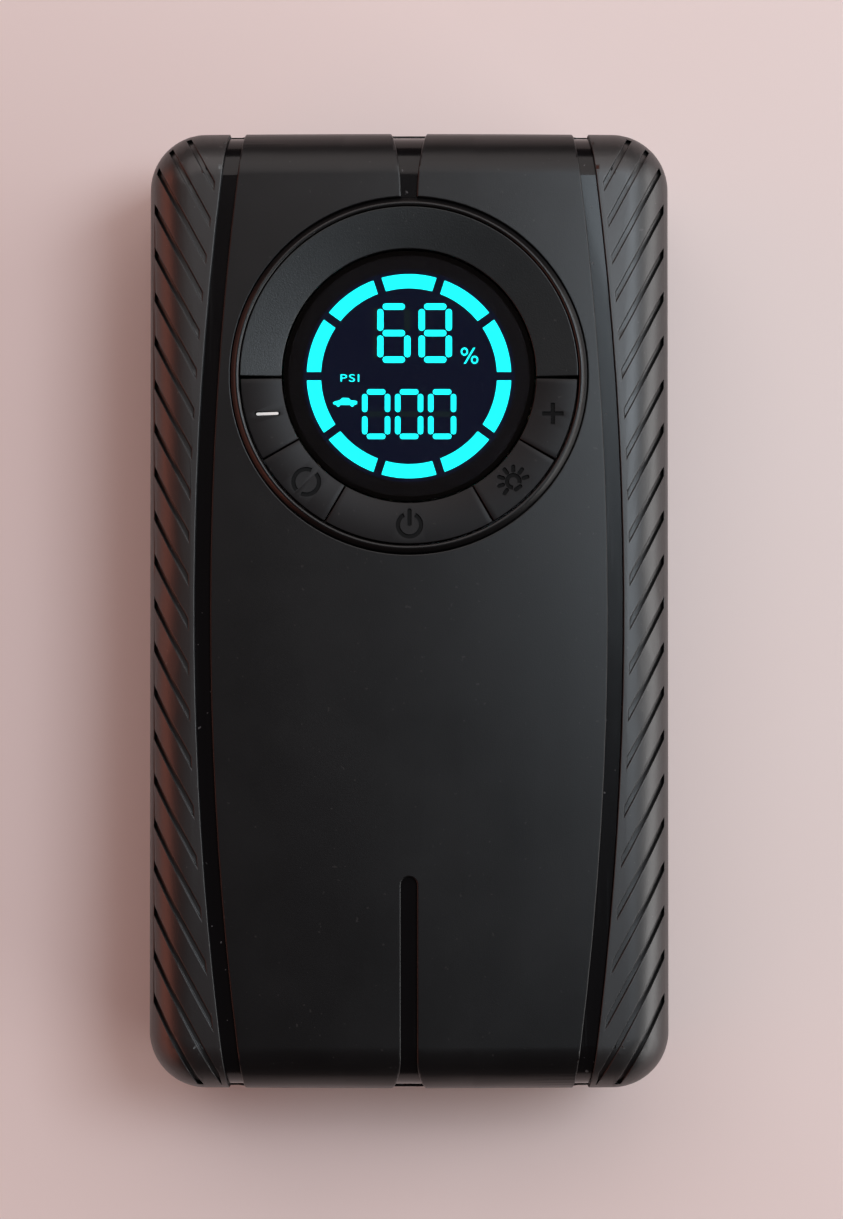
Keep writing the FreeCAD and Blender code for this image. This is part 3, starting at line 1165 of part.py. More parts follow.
def make_pump():
    """Motor, gear train, crank, piston and cylinder of the tyre pump."""
    motor = new_body("motor_can", x="motor_across", y=f"{FRAME_BACK} - motor_length", z=PUMP_Z, **ALONG_Y)
    pad(motor, [Disc("0", "0", MOTOR_RADIUS)], "0", "motor_length")
    soften(motor, "1.5", lambda edge: edge.BoundBox.ZMax < 0.01)
    pad(motor, [Disc("0", "0", "motor_nose_radius")], "-motor_nose", "motor_length + motor_nose")
    pocket(motor, [Disc("0", "0", "motor_shaft_radius + running_gap")], "motor_length - 6", "motor_length + motor_nose")
    node(motor)

    pinion = make_gear("drive_pinion", "motor_across", "pinion_teeth", GEAR_BACK, GEAR_FRONT, [])
    pad(pinion, [Disc("0", "0", "motor_shaft_radius")], f"-({GEAR_BACK} - {FRAME_BACK}) - 5", "gear_width + 1")
    node(pinion)

    gear = make_gear("crank_gear", GEAR_X, "gear_teeth", GEAR_BACK, GEAR_FRONT, ["gear_bore_radius"])
    pad(gear, [Disc("0", "0", "gear_hub_radius"), Disc("0", "0", "gear_bore_radius")], f"-gear_gap / 2", "0")
    pocket(gear, [Disc("0", "0", f"{GEAR_MODULE} * (gear_teeth / 2 - 3)"), Disc("0", "0", "gear_hub_radius + 3.5")],
           "gear_width - 1.2", "gear_width")
    pocket(gear, [Disc("-crank_throw", "0", "crank_pin_radius + running_gap")], "-gear_gap / 2", "gear_width")
    node(gear)

    pin = new_body("crank_pin", x=PIN_X, y=GEAR_BACK, z=PUMP_Z, **ALONG_Y)
    reach = f"({ROD_BACK} - {GEAR_BACK} + rod_thickness)"
    pad(pin, [Disc("0", "0", "crank_pin_radius")], "0.2", f"{reach} + 0.4")
    pad(pin, [Disc("0", "0", "crank_pin_radius + 1")], f"{reach} + 0.4", f"{reach} + 1.2")
    node(pin)

    rod = new_body("piston_rod", x=PIN_X, y=ROD_BACK, z=PUMP_Z, **ALONG_Y)
    web = "(rod_width / 2)"
    pad(rod, [Disc("0", "0", "rod_eye_radius")], "0", "rod_thickness")
    pad(rod, [rectangle("-rod_length", "0", f"-{web}", web)], "0", "rod_thickness")
    pad(rod, [Disc("-rod_length", "0", web)], "0", "rod_thickness")
    pocket(rod, [Disc("0", "0", "crank_pin_radius + running_gap")], "0", "rod_thickness")
    node(rod)

    piston = new_body("pump_piston", x=PISTON_X, y=ROD_Y, z=PUMP_Z, **ALONG_X)
    half = "(piston_length / 2)"
    pad(piston, [Disc("0", "0", "cylinder_bore_radius - piston_slack")], f"-{half}", half)
    slot_half = "(rod_thickness / 2 + running_gap)"
    piston_slot = [rectangle(f"-({web} + 0.5)", f"{web} + 0.5", f"-{slot_half}", slot_half)]
    pocket(piston, piston_slot, f"-({web} + 0.4)", half)
    node(piston)

    cylinder = new_body("pump_cylinder", x=HEAD_X, y=ROD_Y, z=PUMP_Z, **ALONG_X)
    pad(cylinder, [Disc("0", "0", CYLINDER_RADIUS), Disc("0", "0", "cylinder_bore_radius")], "0", "cylinder_length")
    pad(cylinder, [Disc("0", "0", f"{CYLINDER_RADIUS} + 1.5"), Disc("0", "0", "cylinder_bore_radius")], "0", "2")
    node(cylinder)

    head = new_body("head_blank", x=HEAD_X, y=ROD_Y, z=PUMP_Z, **ALONG_X)
    pad(head, [Disc("0", "0", f"{CYLINDER_RADIUS} + 1.5")], "-head_thickness", "0")
    head_side = f"{ROD_Y} + {CYLINDER_RADIUS} + 1.5"
    soften(head, "0.8", lambda edge: edge.BoundBox.ZMax < -size("head_thickness") + 0.01)

    # outlet barb on the head's side, and the tube from it to the air outlet
    barb = new_body("outlet_barb", x=f"{HEAD_X} - head_thickness / 2", y=f"{head_side} - 2", z=PUMP_Z, **ALONG_Y)
    pad(barb, [Disc("0", "0", "barb_radius - 0.05")], "0", "5")
    node(joined("cylinder_head", head, barb))
    start = Vector(size(f"{HEAD_X} - head_thickness / 2"), size(f"{head_side} + 0.3"), size(PUMP_Z))
    finish = Vector(-size(AIR_ACROSS), size(f"{FASCIA_FACE} - air_face_sink - air_body_length - 0.3"), size(PORT_RISE))
    node(bent_tube("air_tube", start, finish, "barb_radius + 0.05", "tube_wall"))

    frame = new_body("pump_frame")
    left, right = f"({GEAR_X} - frame_side)", f"(motor_across + {MOTOR_RADIUS} + 1)"
    high = f"({PUMP_Z} + {MOTOR_RADIUS} + 0.4)"
    plate = [(left, FLOOR), (right, FLOOR), (right, high), (left, high)]
    pad(frame, [plate], FRAME_BACK, FRAME_FRONT, plane="XZ")
    saddle_left, saddle_right = f"({HEAD_X} + saddle_inset)", f"({HEAD_X} + cylinder_length - saddle_inset)"
    near, far = f"({ROD_Y} - saddle_half_width)", f"({ROD_Y} + saddle_half_width)"
    pad(frame, [rectangle(saddle_left, saddle_right, FLOOR, f"{PUMP_Z} - {CYLINDER_RADIUS} + saddle_wrap")],
        near, far, plane="XZ")
    pad(frame, [rectangle(saddle_left, f"{left} + frame_foot", FLOOR, f"{FLOOR} + frame_foot")],
        FRAME_BACK, far, plane="XZ")
    pocket(frame, [Disc("motor_across", PUMP_Z, "motor_nose_radius + running_gap"),
                   Disc(GEAR_X, PUMP_Z, "axle_radius + running_gap")], FRAME_BACK, FRAME_FRONT, plane="XZ")
    pocket(frame, [Disc(ROD_Y, PUMP_Z, f"{CYLINDER_RADIUS} + running_gap")], f"{saddle_left} - 1",
           f"{saddle_right} + 1", plane="YZ")
    node(frame)

    axle = new_body("gear_axle", x=GEAR_X, y=FRAME_BACK, z=PUMP_Z, **ALONG_Y)
    pad(axle, [Disc("0", "0", "axle_radius")], "0", f"{GEAR_FRONT} - {FRAME_BACK} + 0.8")
    pad(axle, [Disc("0", "0", "axle_radius + 1")], f"{GEAR_FRONT} - {FRAME_BACK} + 0.3",
        f"{GEAR_FRONT} - {FRAME_BACK} + 0.9")
    node(axle)


def bent_tube(label, start, finish, bore, wall):
    """A tube that leaves start and enters finish along Y, with two bends between."""
    reach = Vector(0, (finish.y - start.y) / 3, 0)
    route = rounded_route([start, start + reach, finish - reach, finish])
    solids = []
    for radius in (f"{bore} + {wall}", bore):
        ring = Part.Wire(Part.Circle(start, Vector(0, 1, 0), size(radius)).toShape())
        solids.append(route.makePipeShell([ring], True, False))
    tube = DOC.addObject("Part::Feature", label)
    tube.Shape = solids[0].cut(solids[1])
    return tube


def rounded_route(points):
    """A wire of straight runs joined by tangent arcs, each as large as its runs allow."""
    edges = []
    here = points[0]
    for before, corner, after in zip(points, points[1:], points[2:]):
        back, ahead = before - corner, after - corner
        reach = 0.45 * min(back.Length, ahead.Length)
        half_angle = back.getAngle(ahead) / 2
        enter, leave = corner + back.normalize() * reach, corner + ahead.normalize() * reach
        inward = ((enter + leave) * 0.5 - corner).normalize()
        depth = reach / math.cos(half_angle) - reach * math.tan(half_angle)
        edges.append(Part.LineSegment(here, enter).toShape())
        edges.append(Part.Arc(enter, corner + inward * depth, leave).toShape())
        here = leave
    edges.append(Part.LineSegment(here, points[-1]).toShape())
    return Part.Wire(edges)


# ---------------------------------------------------------------- checks and files

def broken_objects():
    """Names of objects that did not build, or whose finished shape is unusable."""
    failed = [item.Name for item in DOC.Objects if {"Invalid", "Error"} & set(item.State)]
    failed += [item.Label for item in NODES if item.Shape.isNull() or not item.Shape.isValid()]
    return failed


def main():
    skin_space = make_skins()
    make_shells(skin_space)
    make_screws_and_feet()
    make_keys()
    make_dial()
    make_top_end()
    make_bottom_end()
    make_power()
    make_pump()
    DOC.recompute()
    failed = broken_objects()
    if failed:
        raise RuntimeError(f"did not build: {failed}")
    os.makedirs("parts", exist_ok=True)
    for item in NODES:
        item.Shape.exportStep(f"parts/{item.Label}.step")
        print(f"{item.Label}: {len(item.Shape.Solids)} solid(s), {item.Shape.Volume:.0f} mm3")


main()
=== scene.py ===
"""Looks of a jump starter pack with a built-in tyre pump, lying on its back on a pale table."""
import json
import logging
import math
from collections.abc import Iterable
from dataclasses import dataclass
from enum import Enum, unique

import bmesh
import bpy
from bmesh.types import BMEdge, BMesh, BMFace, BMVert
from mathutils import Matrix, Vector

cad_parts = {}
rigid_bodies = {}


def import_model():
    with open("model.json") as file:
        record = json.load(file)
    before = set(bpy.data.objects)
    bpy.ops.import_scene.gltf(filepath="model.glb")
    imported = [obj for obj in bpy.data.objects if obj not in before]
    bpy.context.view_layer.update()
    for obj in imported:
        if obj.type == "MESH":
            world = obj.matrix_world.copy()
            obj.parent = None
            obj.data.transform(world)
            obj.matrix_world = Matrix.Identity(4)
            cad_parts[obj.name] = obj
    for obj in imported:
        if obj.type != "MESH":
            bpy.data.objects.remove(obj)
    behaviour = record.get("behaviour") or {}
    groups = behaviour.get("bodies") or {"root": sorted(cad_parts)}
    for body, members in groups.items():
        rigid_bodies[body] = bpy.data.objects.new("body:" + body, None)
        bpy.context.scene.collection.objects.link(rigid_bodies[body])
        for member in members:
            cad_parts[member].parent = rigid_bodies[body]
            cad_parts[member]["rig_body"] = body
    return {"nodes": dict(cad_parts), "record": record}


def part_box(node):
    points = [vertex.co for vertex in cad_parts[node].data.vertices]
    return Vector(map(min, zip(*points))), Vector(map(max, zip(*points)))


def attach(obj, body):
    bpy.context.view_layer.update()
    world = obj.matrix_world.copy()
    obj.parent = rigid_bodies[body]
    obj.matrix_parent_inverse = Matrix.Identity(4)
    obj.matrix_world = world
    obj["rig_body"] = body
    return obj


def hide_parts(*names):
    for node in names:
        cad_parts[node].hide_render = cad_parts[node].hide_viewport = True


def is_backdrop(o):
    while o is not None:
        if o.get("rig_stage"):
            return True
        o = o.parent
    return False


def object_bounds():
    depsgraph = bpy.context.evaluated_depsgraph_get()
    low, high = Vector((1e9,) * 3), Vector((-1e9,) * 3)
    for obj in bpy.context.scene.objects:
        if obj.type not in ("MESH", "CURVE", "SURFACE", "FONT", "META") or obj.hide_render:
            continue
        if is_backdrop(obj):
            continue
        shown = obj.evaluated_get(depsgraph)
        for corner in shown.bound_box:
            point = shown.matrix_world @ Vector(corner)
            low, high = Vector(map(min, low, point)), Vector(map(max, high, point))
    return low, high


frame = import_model()

LOG = logging.getLogger("jump_starter_pack")
MM = 0.001
HOUSING = "housing"
CRISP_ANGLE = 42.0  # moulded edges sharper than this many degrees are rounded
SMOOTH_ANGLE = 32.0  # edges sharper than this many degrees stay crisp in the shading
LAMP_AIM = Vector((0, 0, 0.02))
Colour = tuple[float, float, float]
Point = tuple[float, float]


# ---------------------------------------------------------------- shader maths

class Wire:
    """A node socket that takes part in shader maths.

    Args:
        graph: The node tree that the socket belongs to.
        socket: The output socket.
    """

    def __init__(self, graph: "Graph", socket: bpy.types.NodeSocket) -> None:
        """Keeps the tree and the socket."""
        self.graph = graph
        self.socket = socket

    def _math(self, operation: str, *values: "Wire | float") -> "Wire":
        """Adds a Math node on up to three values."""
        return self.graph.node("ShaderNodeMath", {"operation": operation}, dict(enumerate(values)))

    def __add__(self, other: "Wire | float") -> "Wire":
        """Returns self + other."""
        return self._math("ADD", self, other)

    __radd__ = __add__

    def __sub__(self, other: "Wire | float") -> "Wire":
        """Returns self - other."""
        return self._math("SUBTRACT", self, other)

    def __rsub__(self, other: "Wire | float") -> "Wire":
        """Returns other - self."""
        return self._math("SUBTRACT", other, self)

    def __mul__(self, other: "Wire | float") -> "Wire":
        """Returns self * other."""
        return self._math("MULTIPLY", self, other)

    __rmul__ = __mul__

    def __truediv__(self, other: "Wire | float") -> "Wire":
        """Returns self / other."""
        return self._math("DIVIDE", self, other)

    def __rtruediv__(self, other: "Wire | float") -> "Wire":
        """Returns other / self."""
        return self._math("DIVIDE", other, self)

    def __pow__(self, other: "Wire | float") -> "Wire":
        """Returns self ** other."""
        return self._math("POWER", self, other)

    def above(self, level: float, width: float) -> "Wire":
        """Rises softly from 0 to 1 as the value passes a level.

        Args:
            level: Where the rise is half done.
            width: How wide the rise is.

        Returns:
            The mask.
        """
        return self.graph.node("ShaderNodeMapRange", {"interpolation_type": "SMOOTHSTEP", "clamp": True},
                               {0: self, 1: level - width / 2, 2: level + width / 2, 3: 0.0, 4: 1.0})


class Graph:
    """A node tree, from an empty start.

    Args:
        tree: The tree of a material or a world.
    """

    def __init__(self, tree: bpy.types.NodeTree) -> None:
        """Keeps the tree and clears it."""
        self.tree = tree
        self.tree.nodes.clear()

    def node(self, kind: str, settings: dict, inputs: dict, out: str | int = 0) -> Wire:
        """Adds a node.

        Args:
            kind: The node's type.
            settings: Its properties, set first.
            inputs: Values or wires for its sockets, by name or number.
            out: The output socket to hand back.

        Returns:
            The chosen output.
        """
        item = self.tree.nodes.new(kind)
        for name, value in settings.items():
            setattr(item, name, value)
        for name, value in inputs.items():
            socket = item.inputs[name]
            if isinstance(value, Wire):
                self.tree.links.new(value.socket, socket)
            elif isinstance(value, tuple) and len(value) == 3 and socket.type == "RGBA":
                socket.default_value = (*value, 1.0)
            else:
                socket.default_value = value
        return Wire(self, item.outputs[out] if item.outputs else None)


class Paint(Graph):
    """The node tree of one material.

    Args:
        name: The material's name.
    """

    def __init__(self, name: str) -> None:
        """Makes the material and its output node."""
        self.material = bpy.data.materials.new(name)
        self.material.use_nodes = True
        super().__init__(self.material.node_tree)
        self.output = self.tree.nodes.new("ShaderNodeOutputMaterial")
        self.place = self.node("ShaderNodeTexCoord", {}, {}, "Object")

    def noise(self, scale: float, detail: float = 3.0, roughness: float = 0.5,
              place: Wire | None = None) -> Wire:
        """Smooth noise on the piece's own coordinates, with a scale in bumps per metre."""
        return self.node("ShaderNodeTexNoise", {}, {
            "Vector": place or self.place, "Scale": scale, "Detail": detail, "Roughness": roughness})

    def mix(self, factor: Wire | float, low: Wire | Colour, high: Wire | Colour) -> Wire:
        """Blends two colours."""
        return self.node("ShaderNodeMix", {"data_type": "RGBA"}, {0: factor, 6: low, 7: high}, 2)

    def stretched(self, x: float, y: float, z: float) -> Wire:
        """Object coordinates scaled along each axis."""
        return self.node("ShaderNodeMapping", {}, {"Vector": self.place, "Scale": (x, y, z)})

    def bump(self, height: Wire, depth: float, strength: float = 1.0) -> Wire:
        """A normal from a height of 0 to 1 that stands for a depth in metres."""
        return self.node("ShaderNodeBump", {},
                         {"Height": height, "Distance": depth, "Strength": strength}, "Normal")

    def principled(self, **inputs: Wire | float | Colour) -> bpy.types.Material:
        """Ends the tree in one Principled shader.

        Args:
            **inputs: Its sockets, with an underscore in place of each space.

        Returns:
            The material.
        """
        sockets = {name.replace("_", " "): value for name, value in inputs.items()}
        shader = self.node("ShaderNodeBsdfPrincipled", {}, sockets)
        self.tree.links.new(shader.socket, self.output.inputs["Surface"])
        return self.material


# ---------------------------------------------------------------- finishes

@dataclass(frozen=True)
class MouldedPlastic:
    """Moulded plastic or rubber with a spark-textured skin and slight rubbing.

    Args:
        colour: Its colour.
        roughness: The mean roughness.
        grain: Depth of the texture in millimetres.
        grain_size: Width of its pits in millimetres.
        specular: The shader's specular level.
        wear: How much the roughness varies where hands rub it.
        dust: How much pale dust lies in it.
    """
    colour: Colour
    roughness: float
    grain: float = 0.012
    grain_size: float = 0.22
    specular: float = 0.5
    wear: float = 0.05
    dust: float = 0.0

    def material(self, name: str) -> bpy.types.Material:
        """Builds the material under a name."""
        graph = Paint(name)
        grain = graph.noise(1 / (self.grain_size * MM), 2.0, 0.6)
        cloud = graph.noise(38.0, 3.0, 0.55)
        specks = graph.noise(1100.0, 1.0, 0.4).above(0.77, 0.04)
        paler = tuple(value * 1.25 + 0.0012 for value in self.colour)
        body = graph.mix(cloud.above(0.55, 0.5), self.colour, paler)
        dusty = graph.mix(specks * self.dust, body, (0.16, 0.15, 0.145))
        rough = cloud * (self.wear * 2) + (self.roughness - self.wear) + grain * 0.05
        return graph.principled(Base_Color=dusty, Roughness=rough, Specular_IOR_Level=self.specular,
                                Normal=graph.bump(grain, self.grain * MM))


@dataclass(frozen=True)
class GlossPlastic:
    """High-gloss plastic with faint hairlines and a few dust specks.

    Args:
        colour: Its colour.
        roughness: The clean surface's roughness.
        coat: Weight of the clear coat.
        specular: The shader's specular level.
    """
    colour: Colour
    roughness: float = 0.08
    coat: float = 0.6
    specular: float = 0.5

    def material(self, name: str) -> bpy.types.Material:
        """Builds the material under a name."""
        graph = Paint(name)
        hairlines = graph.noise(900.0, 2.0, 0.7, graph.stretched(1.0, 0.03, 1.0)).above(0.66, 0.1)
        smears = graph.noise(60.0, 3.0, 0.6)
        specks = graph.noise(700.0, 1.0, 0.4).above(0.77, 0.03)
        rough = hairlines * 0.06 + smears * 0.05 + specks * 0.3 + self.roughness
        dusty = graph.mix(specks * 0.5, self.colour, (0.12, 0.11, 0.11))
        return graph.principled(Base_Color=dusty, Roughness=rough, Coat_Weight=self.coat, Coat_Roughness=0.04,
                                Specular_IOR_Level=self.specular, Normal=graph.bump(smears, 0.01 * MM, 0.5))


@dataclass(frozen=True)
class ClearPlastic:
    """See-through plastic, clear or smoked.

    Args:
        colour: What passes through each face.
        roughness: Haze.
        ribs: Spacing of lens ribs in millimetres, or 0 for none.
    """
    colour: Colour
    roughness: float = 0.02
    ribs: float = 0.0

    def material(self, name: str) -> bpy.types.Material:
        """Builds the material under a name."""
        graph = Paint(name)
        smears = graph.noise(45.0, 3.0, 0.6)
        rough = smears * 0.03 + self.roughness
        height, depth = smears, 0.004
        if self.ribs:
            wave = graph.node("ShaderNodeTexWave", {"wave_type": "BANDS", "bands_direction": "X"},
                              {"Vector": graph.place, "Scale": 0.314 / (self.ribs * MM)}, "Fac")
            height, depth = wave, 0.25
        return graph.principled(Base_Color=self.colour, Roughness=rough, IOR=1.49, Transmission_Weight=1.0,
                                Normal=graph.bump(height, depth * MM))


@dataclass(frozen=True)
class Metal:
    """Plated, turned or cast metal.

    Args:
        colour: Its colour.
        roughness: The mean roughness.
        brushed: Whether fine lines run across it.
        cast: Depth of a cast skin in millimetres.
    """
    colour: Colour
    roughness: float = 0.3
    brushed: bool = True
    cast: float = 0.0

    def material(self, name: str) -> bpy.types.Material:
        """Builds the material under a name."""
        graph = Paint(name)
        place = graph.stretched(1.0, 1.0, 0.04) if self.brushed else graph.place
        lines = graph.noise(4000.0 if self.brushed else 1500.0, 2.0, 0.6, place)
        tarnish = graph.noise(130.0, 3.0, 0.6)
        darker = tuple(value * 0.7 for value in self.colour)
        stained = graph.mix(tarnish.above(0.62, 0.3), self.colour, darker)
        return graph.principled(Base_Color=stained, Metallic=1.0,
                                Roughness=lines * 0.12 + tarnish * 0.1 + (self.roughness - 0.1),
                                Normal=graph.bump(lines, (self.cast or 0.002) * MM))


@dataclass(frozen=True)
class CircuitBoard:
    """Green solder mask over copper tracks, with bare pads.

    Args:
        colour: Colour of the mask over bare board.
    """
    colour: Colour = (0.008, 0.07, 0.03)

    def material(self, name: str) -> bpy.types.Material:
        """Builds the material under a name."""
        graph = Paint(name)
        tracks = graph.node("ShaderNodeTexBrick", {"offset": 0.5}, {
            "Vector": graph.place, "Scale": 260.0, "Mortar Size": 0.16, "Mortar Smooth": 0.2}, "Fac")
        dots = graph.node("ShaderNodeTexVoronoi", {"feature": "F1"},
                          {"Vector": graph.place, "Scale": 420.0, "Randomness": 0.35}, "Distance")
        pads = 1 - dots.above(0.22, 0.05)
        over_copper = (self.colour[0] * 2.2, self.colour[1] * 1.7, self.colour[2] * 1.6)
        mask = graph.mix(1 - tracks, self.colour, over_copper)
        relief = graph.bump(pads + (1 - tracks) * 0.5, 0.03 * MM)
        return graph.principled(Base_Color=graph.mix(pads, mask, (0.75, 0.68, 0.52)), Metallic=pads * 0.9,
                                Roughness=pads * 0.1 + 0.28, Normal=relief)


@dataclass(frozen=True)
class Glow:
    """A lit or unlit area of the display.

    Args:
        colour: Its colour.
        strength: How brightly it shines.
    """
    colour: Colour
    strength: float

    def material(self, name: str) -> bpy.types.Material:
        """Builds the material under a name."""
        return Paint(name).principled(
            Base_Color=(0.002, 0.0024, 0.003), Roughness=0.5, Specular_IOR_Level=0.1,
            Emission_Color=self.colour, Emission_Strength=self.strength)


@unique
class Finish(Enum):
    """The material slots of the pack, each with its finish."""
    shell_plastic = MouldedPlastic((0.0019, 0.0018, 0.0021), 0.32, specular=0.4, dust=0.08)
    collar_satin = MouldedPlastic((0.0022, 0.002, 0.0022), 0.27, grain=0.006, specular=0.45)
    inner_gloss = GlossPlastic((0.0024, 0.0021, 0.0025), 0.16, 0.12, 0.27)
    # Paler and bluer than the shell plastic: the extra paleness is painted sheen for the light the crescent's
    # sloped top reflects.
    crescent_satin = MouldedPlastic((0.0036, 0.0048, 0.0053), 0.31, grain=0.02, grain_size=0.3,
                                    specular=0.46, dust=0.12)
    # Darker than the key plastic: painted shade in the sunk symbols.
    symbol_recess = GlossPlastic((0.0009, 0.0006, 0.0006), 0.4, 0.0, 0.12)
    key_plastic = MouldedPlastic((0.0036, 0.0027, 0.003), 0.4, grain=0.006, specular=0.27, dust=0.1)
    grip_rubber = MouldedPlastic((0.0042, 0.0037, 0.0039), 0.39, grain=0.02, grain_size=0.3,
                                 specular=0.78, dust=0.2)
    cover_rubber = MouldedPlastic((0.012, 0.012, 0.013), 0.62, grain=0.02, dust=0.12)
    silicone = MouldedPlastic((0.25, 0.26, 0.28), 0.4, grain=0.01)
    smoke_window = ClearPlastic((0.62, 0.62, 0.66), 0.015)
    clear_lens = ClearPlastic((0.95, 0.96, 0.97), 0.02, ribs=1.6)
    display_face = MouldedPlastic((0.003, 0.003, 0.004), 0.35, grain=0.003, specular=0.15)
    reflector_white = MouldedPlastic((0.78, 0.78, 0.76), 0.25, grain=0.004)
    circuit_board = CircuitBoard()
    component_body = MouldedPlastic((0.02, 0.02, 0.022), 0.5, grain=0.01)
    cell_wrap = GlossPlastic((0.03, 0.12, 0.32), 0.3, 0.1)
    strap_steel = Metal((0.62, 0.6, 0.57), 0.35)
    lead_jacket = MouldedPlastic((0.35, 0.02, 0.015), 0.45, grain=0.006)
    socket_blue = MouldedPlastic((0.012, 0.06, 0.3), 0.38, grain=0.006)
    steel = Metal((0.56, 0.56, 0.55), 0.28)
    brass = Metal((0.78, 0.55, 0.22), 0.25)
    nylon = MouldedPlastic((0.7, 0.68, 0.62), 0.42, grain=0.006)
    die_cast = Metal((0.5, 0.5, 0.51), 0.45, brushed=False, cast=0.03)
    lit_segment = Glow((0.008, 1.0, 1.0), 3.0)
    dim_segment = Glow((0.02, 0.05, 0.055), 0.35)
    display_haze = Glow((0.06, 0.2, 1.0), 0.02)


# ---------------------------------------------------------------- mesh tools

def tidy_normals(work: BMesh) -> None:
    """Merges doubles and turns the faces of closed shells outwards."""
    bmesh.ops.remove_doubles(work, verts=work.verts, dist=1e-6)
    bmesh.ops.recalc_face_normals(work, faces=work.faces)


def add_object(name: str, data: bpy.types.ID) -> bpy.types.Object:
    """Adds an object to the scene."""
    item = bpy.data.objects.new(name, data)
    bpy.context.scene.collection.objects.link(item)
    return item


def settled_mesh(item: bpy.types.Object) -> bpy.types.Mesh:
    """A new mesh of an object as its modifiers leave it."""
    bpy.context.view_layer.update()
    return bpy.data.meshes.new_from_object(item.evaluated_get(bpy.context.evaluated_depsgraph_get()))


def dial_centre() -> Vector:
    """The dial's centre in metres."""
    low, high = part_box("display_window")
    return (Vector(low) + Vector(high)) / 2


def placing(x: float, y: float, z: float) -> Matrix:
    """Brings a shape drawn in millimetres about the origin to a place in metres."""
    return Matrix.Translation((x, y, z)) @ Matrix.Scale(MM, 4)


def thicken(work: BMesh, faces: list[BMFace], height: float, keep: bool = False) -> None:
    """Gives flat faces a thickness upwards.

    Args:
        work: The mesh.
        faces: Its faces to lift.
        height: How far, in the mesh's own units.
        keep: Whether the flat faces stay as the underside.
    """
    made = bmesh.ops.extrude_face_region(work, geom=faces, use_keep_orig=keep)
    lifted = [item for item in made["geom"] if isinstance(item, BMVert)]
    bmesh.ops.translate(work, verts=lifted, vec=(0, 0, height))


def washer(work: BMesh, inner: float, outer: float, segments: int,
           squeeze: float = 1.0) -> list[BMVert]:
    """Adds a flat ring about the origin, stretched along Y by a factor, and returns its corners."""
    verts = [vert for radius in (inner, outer)
             for vert in bmesh.ops.create_circle(work, radius=radius, segments=segments)["verts"]]
    for vert in verts:
        vert.co.y *= squeeze
    bmesh.ops.bridge_loops(work, edges=list({edge for vert in verts for edge in vert.link_edges}))
    return verts


def turn_outline(work: BMesh, corners: list[Point], sweep: float, steps: int) -> None:
    """Turns a closed outline about the Z axis, anticlockwise from the X axis.

    Args:
        work: The mesh to add to.
        corners: The outline's corners, each a radius and a height.
        sweep: How far it turns in radians. A full turn closes on itself.
        steps: The number of steps.
    """
    face = work.faces.new([work.verts.new((radius, 0, height)) for radius, height in corners])
    full = sweep >= math.tau
    geom = list(face.edges) if full else [face, *face.edges, *face.verts]
    if full:
        work.faces.remove(face)
    bmesh.ops.spin(work, geom=geom, cent=(0, 0, 0), axis=(0, 0, 1), angle=sweep, steps=steps, use_merge=full)


def finish_mesh(name: str, work: BMesh, finish: bpy.types.Material, body: str,
                smooth_angle: float = SMOOTH_ANGLE) -> bpy.types.Object:
    """Turns a bmesh into a shaded piece at the origin that rides on a body.

    Args:
        name: The piece's name.
        work: Its shape, freed here.
        finish: Its material.
        body: The CAD body that it moves with.
        smooth_angle: Edges sharper than this many degrees stay crisp.

    Returns:
        The new object.
    """
    mesh = bpy.data.meshes.new(name)
    work.to_mesh(mesh)
    work.free()
    mesh.shade_smooth()
    mesh.set_sharp_from_angle(angle=math.radians(smooth_angle))
    mesh.materials.clear()
    mesh.materials.append(finish)
    piece = add_object(name, mesh)
    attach(piece, body)
    LOG.info("%s: %d faces", name, len(mesh.polygons))
    return piece


def even_shading(piece: bpy.types.Object) -> None:
    """Lets wide faces keep their own normals, so that only the rounded edges turn."""
    modifier = piece.modifiers.new("even_shading", "WEIGHTED_NORMAL")
    modifier.mode = "FACE_AREA"
    modifier.weight = 60
    modifier.keep_sharp = True


def crisp_edges(work: BMesh, angle: float) -> list[BMEdge]:
    """The edges whose two faces meet at more than an angle, in degrees."""
    limit = math.radians(angle)
    return [edge for edge in work.edges if len(edge.link_faces) == 2 and edge.calc_face_angle(0.0) > limit]


def round_edges(work: BMesh, edges: Iterable[BMEdge], width: float, clamp: bool = False) -> None:
    """Rounds edges.

    Args:
        work: The mesh.
        edges: Its edges to round.
        width: Width of the rounding, in the mesh's own units.
        clamp: Whether roundings that meet are kept from crossing.
    """
    bmesh.ops.bevel(work, geom=list(edges), offset=width, offset_type="OFFSET", segments=3, profile=0.5,
                    affect="EDGES", clamp_overlap=clamp, loop_slide=False, material=-1)


def slice_across(work: BMesh, step: float) -> None:
    """Cuts long faces every few millimetres along the pack, so that their shading stays local."""
    ends = [vert.co.y for vert in work.verts]
    place = min(ends) + step * MM
    while place < max(ends):
        bmesh.ops.bisect_plane(work, geom=[*work.verts, *work.edges, *work.faces], dist=1e-7,
                               plane_co=(0, place, 0), plane_no=(0, 1, 0))
        place += step * MM


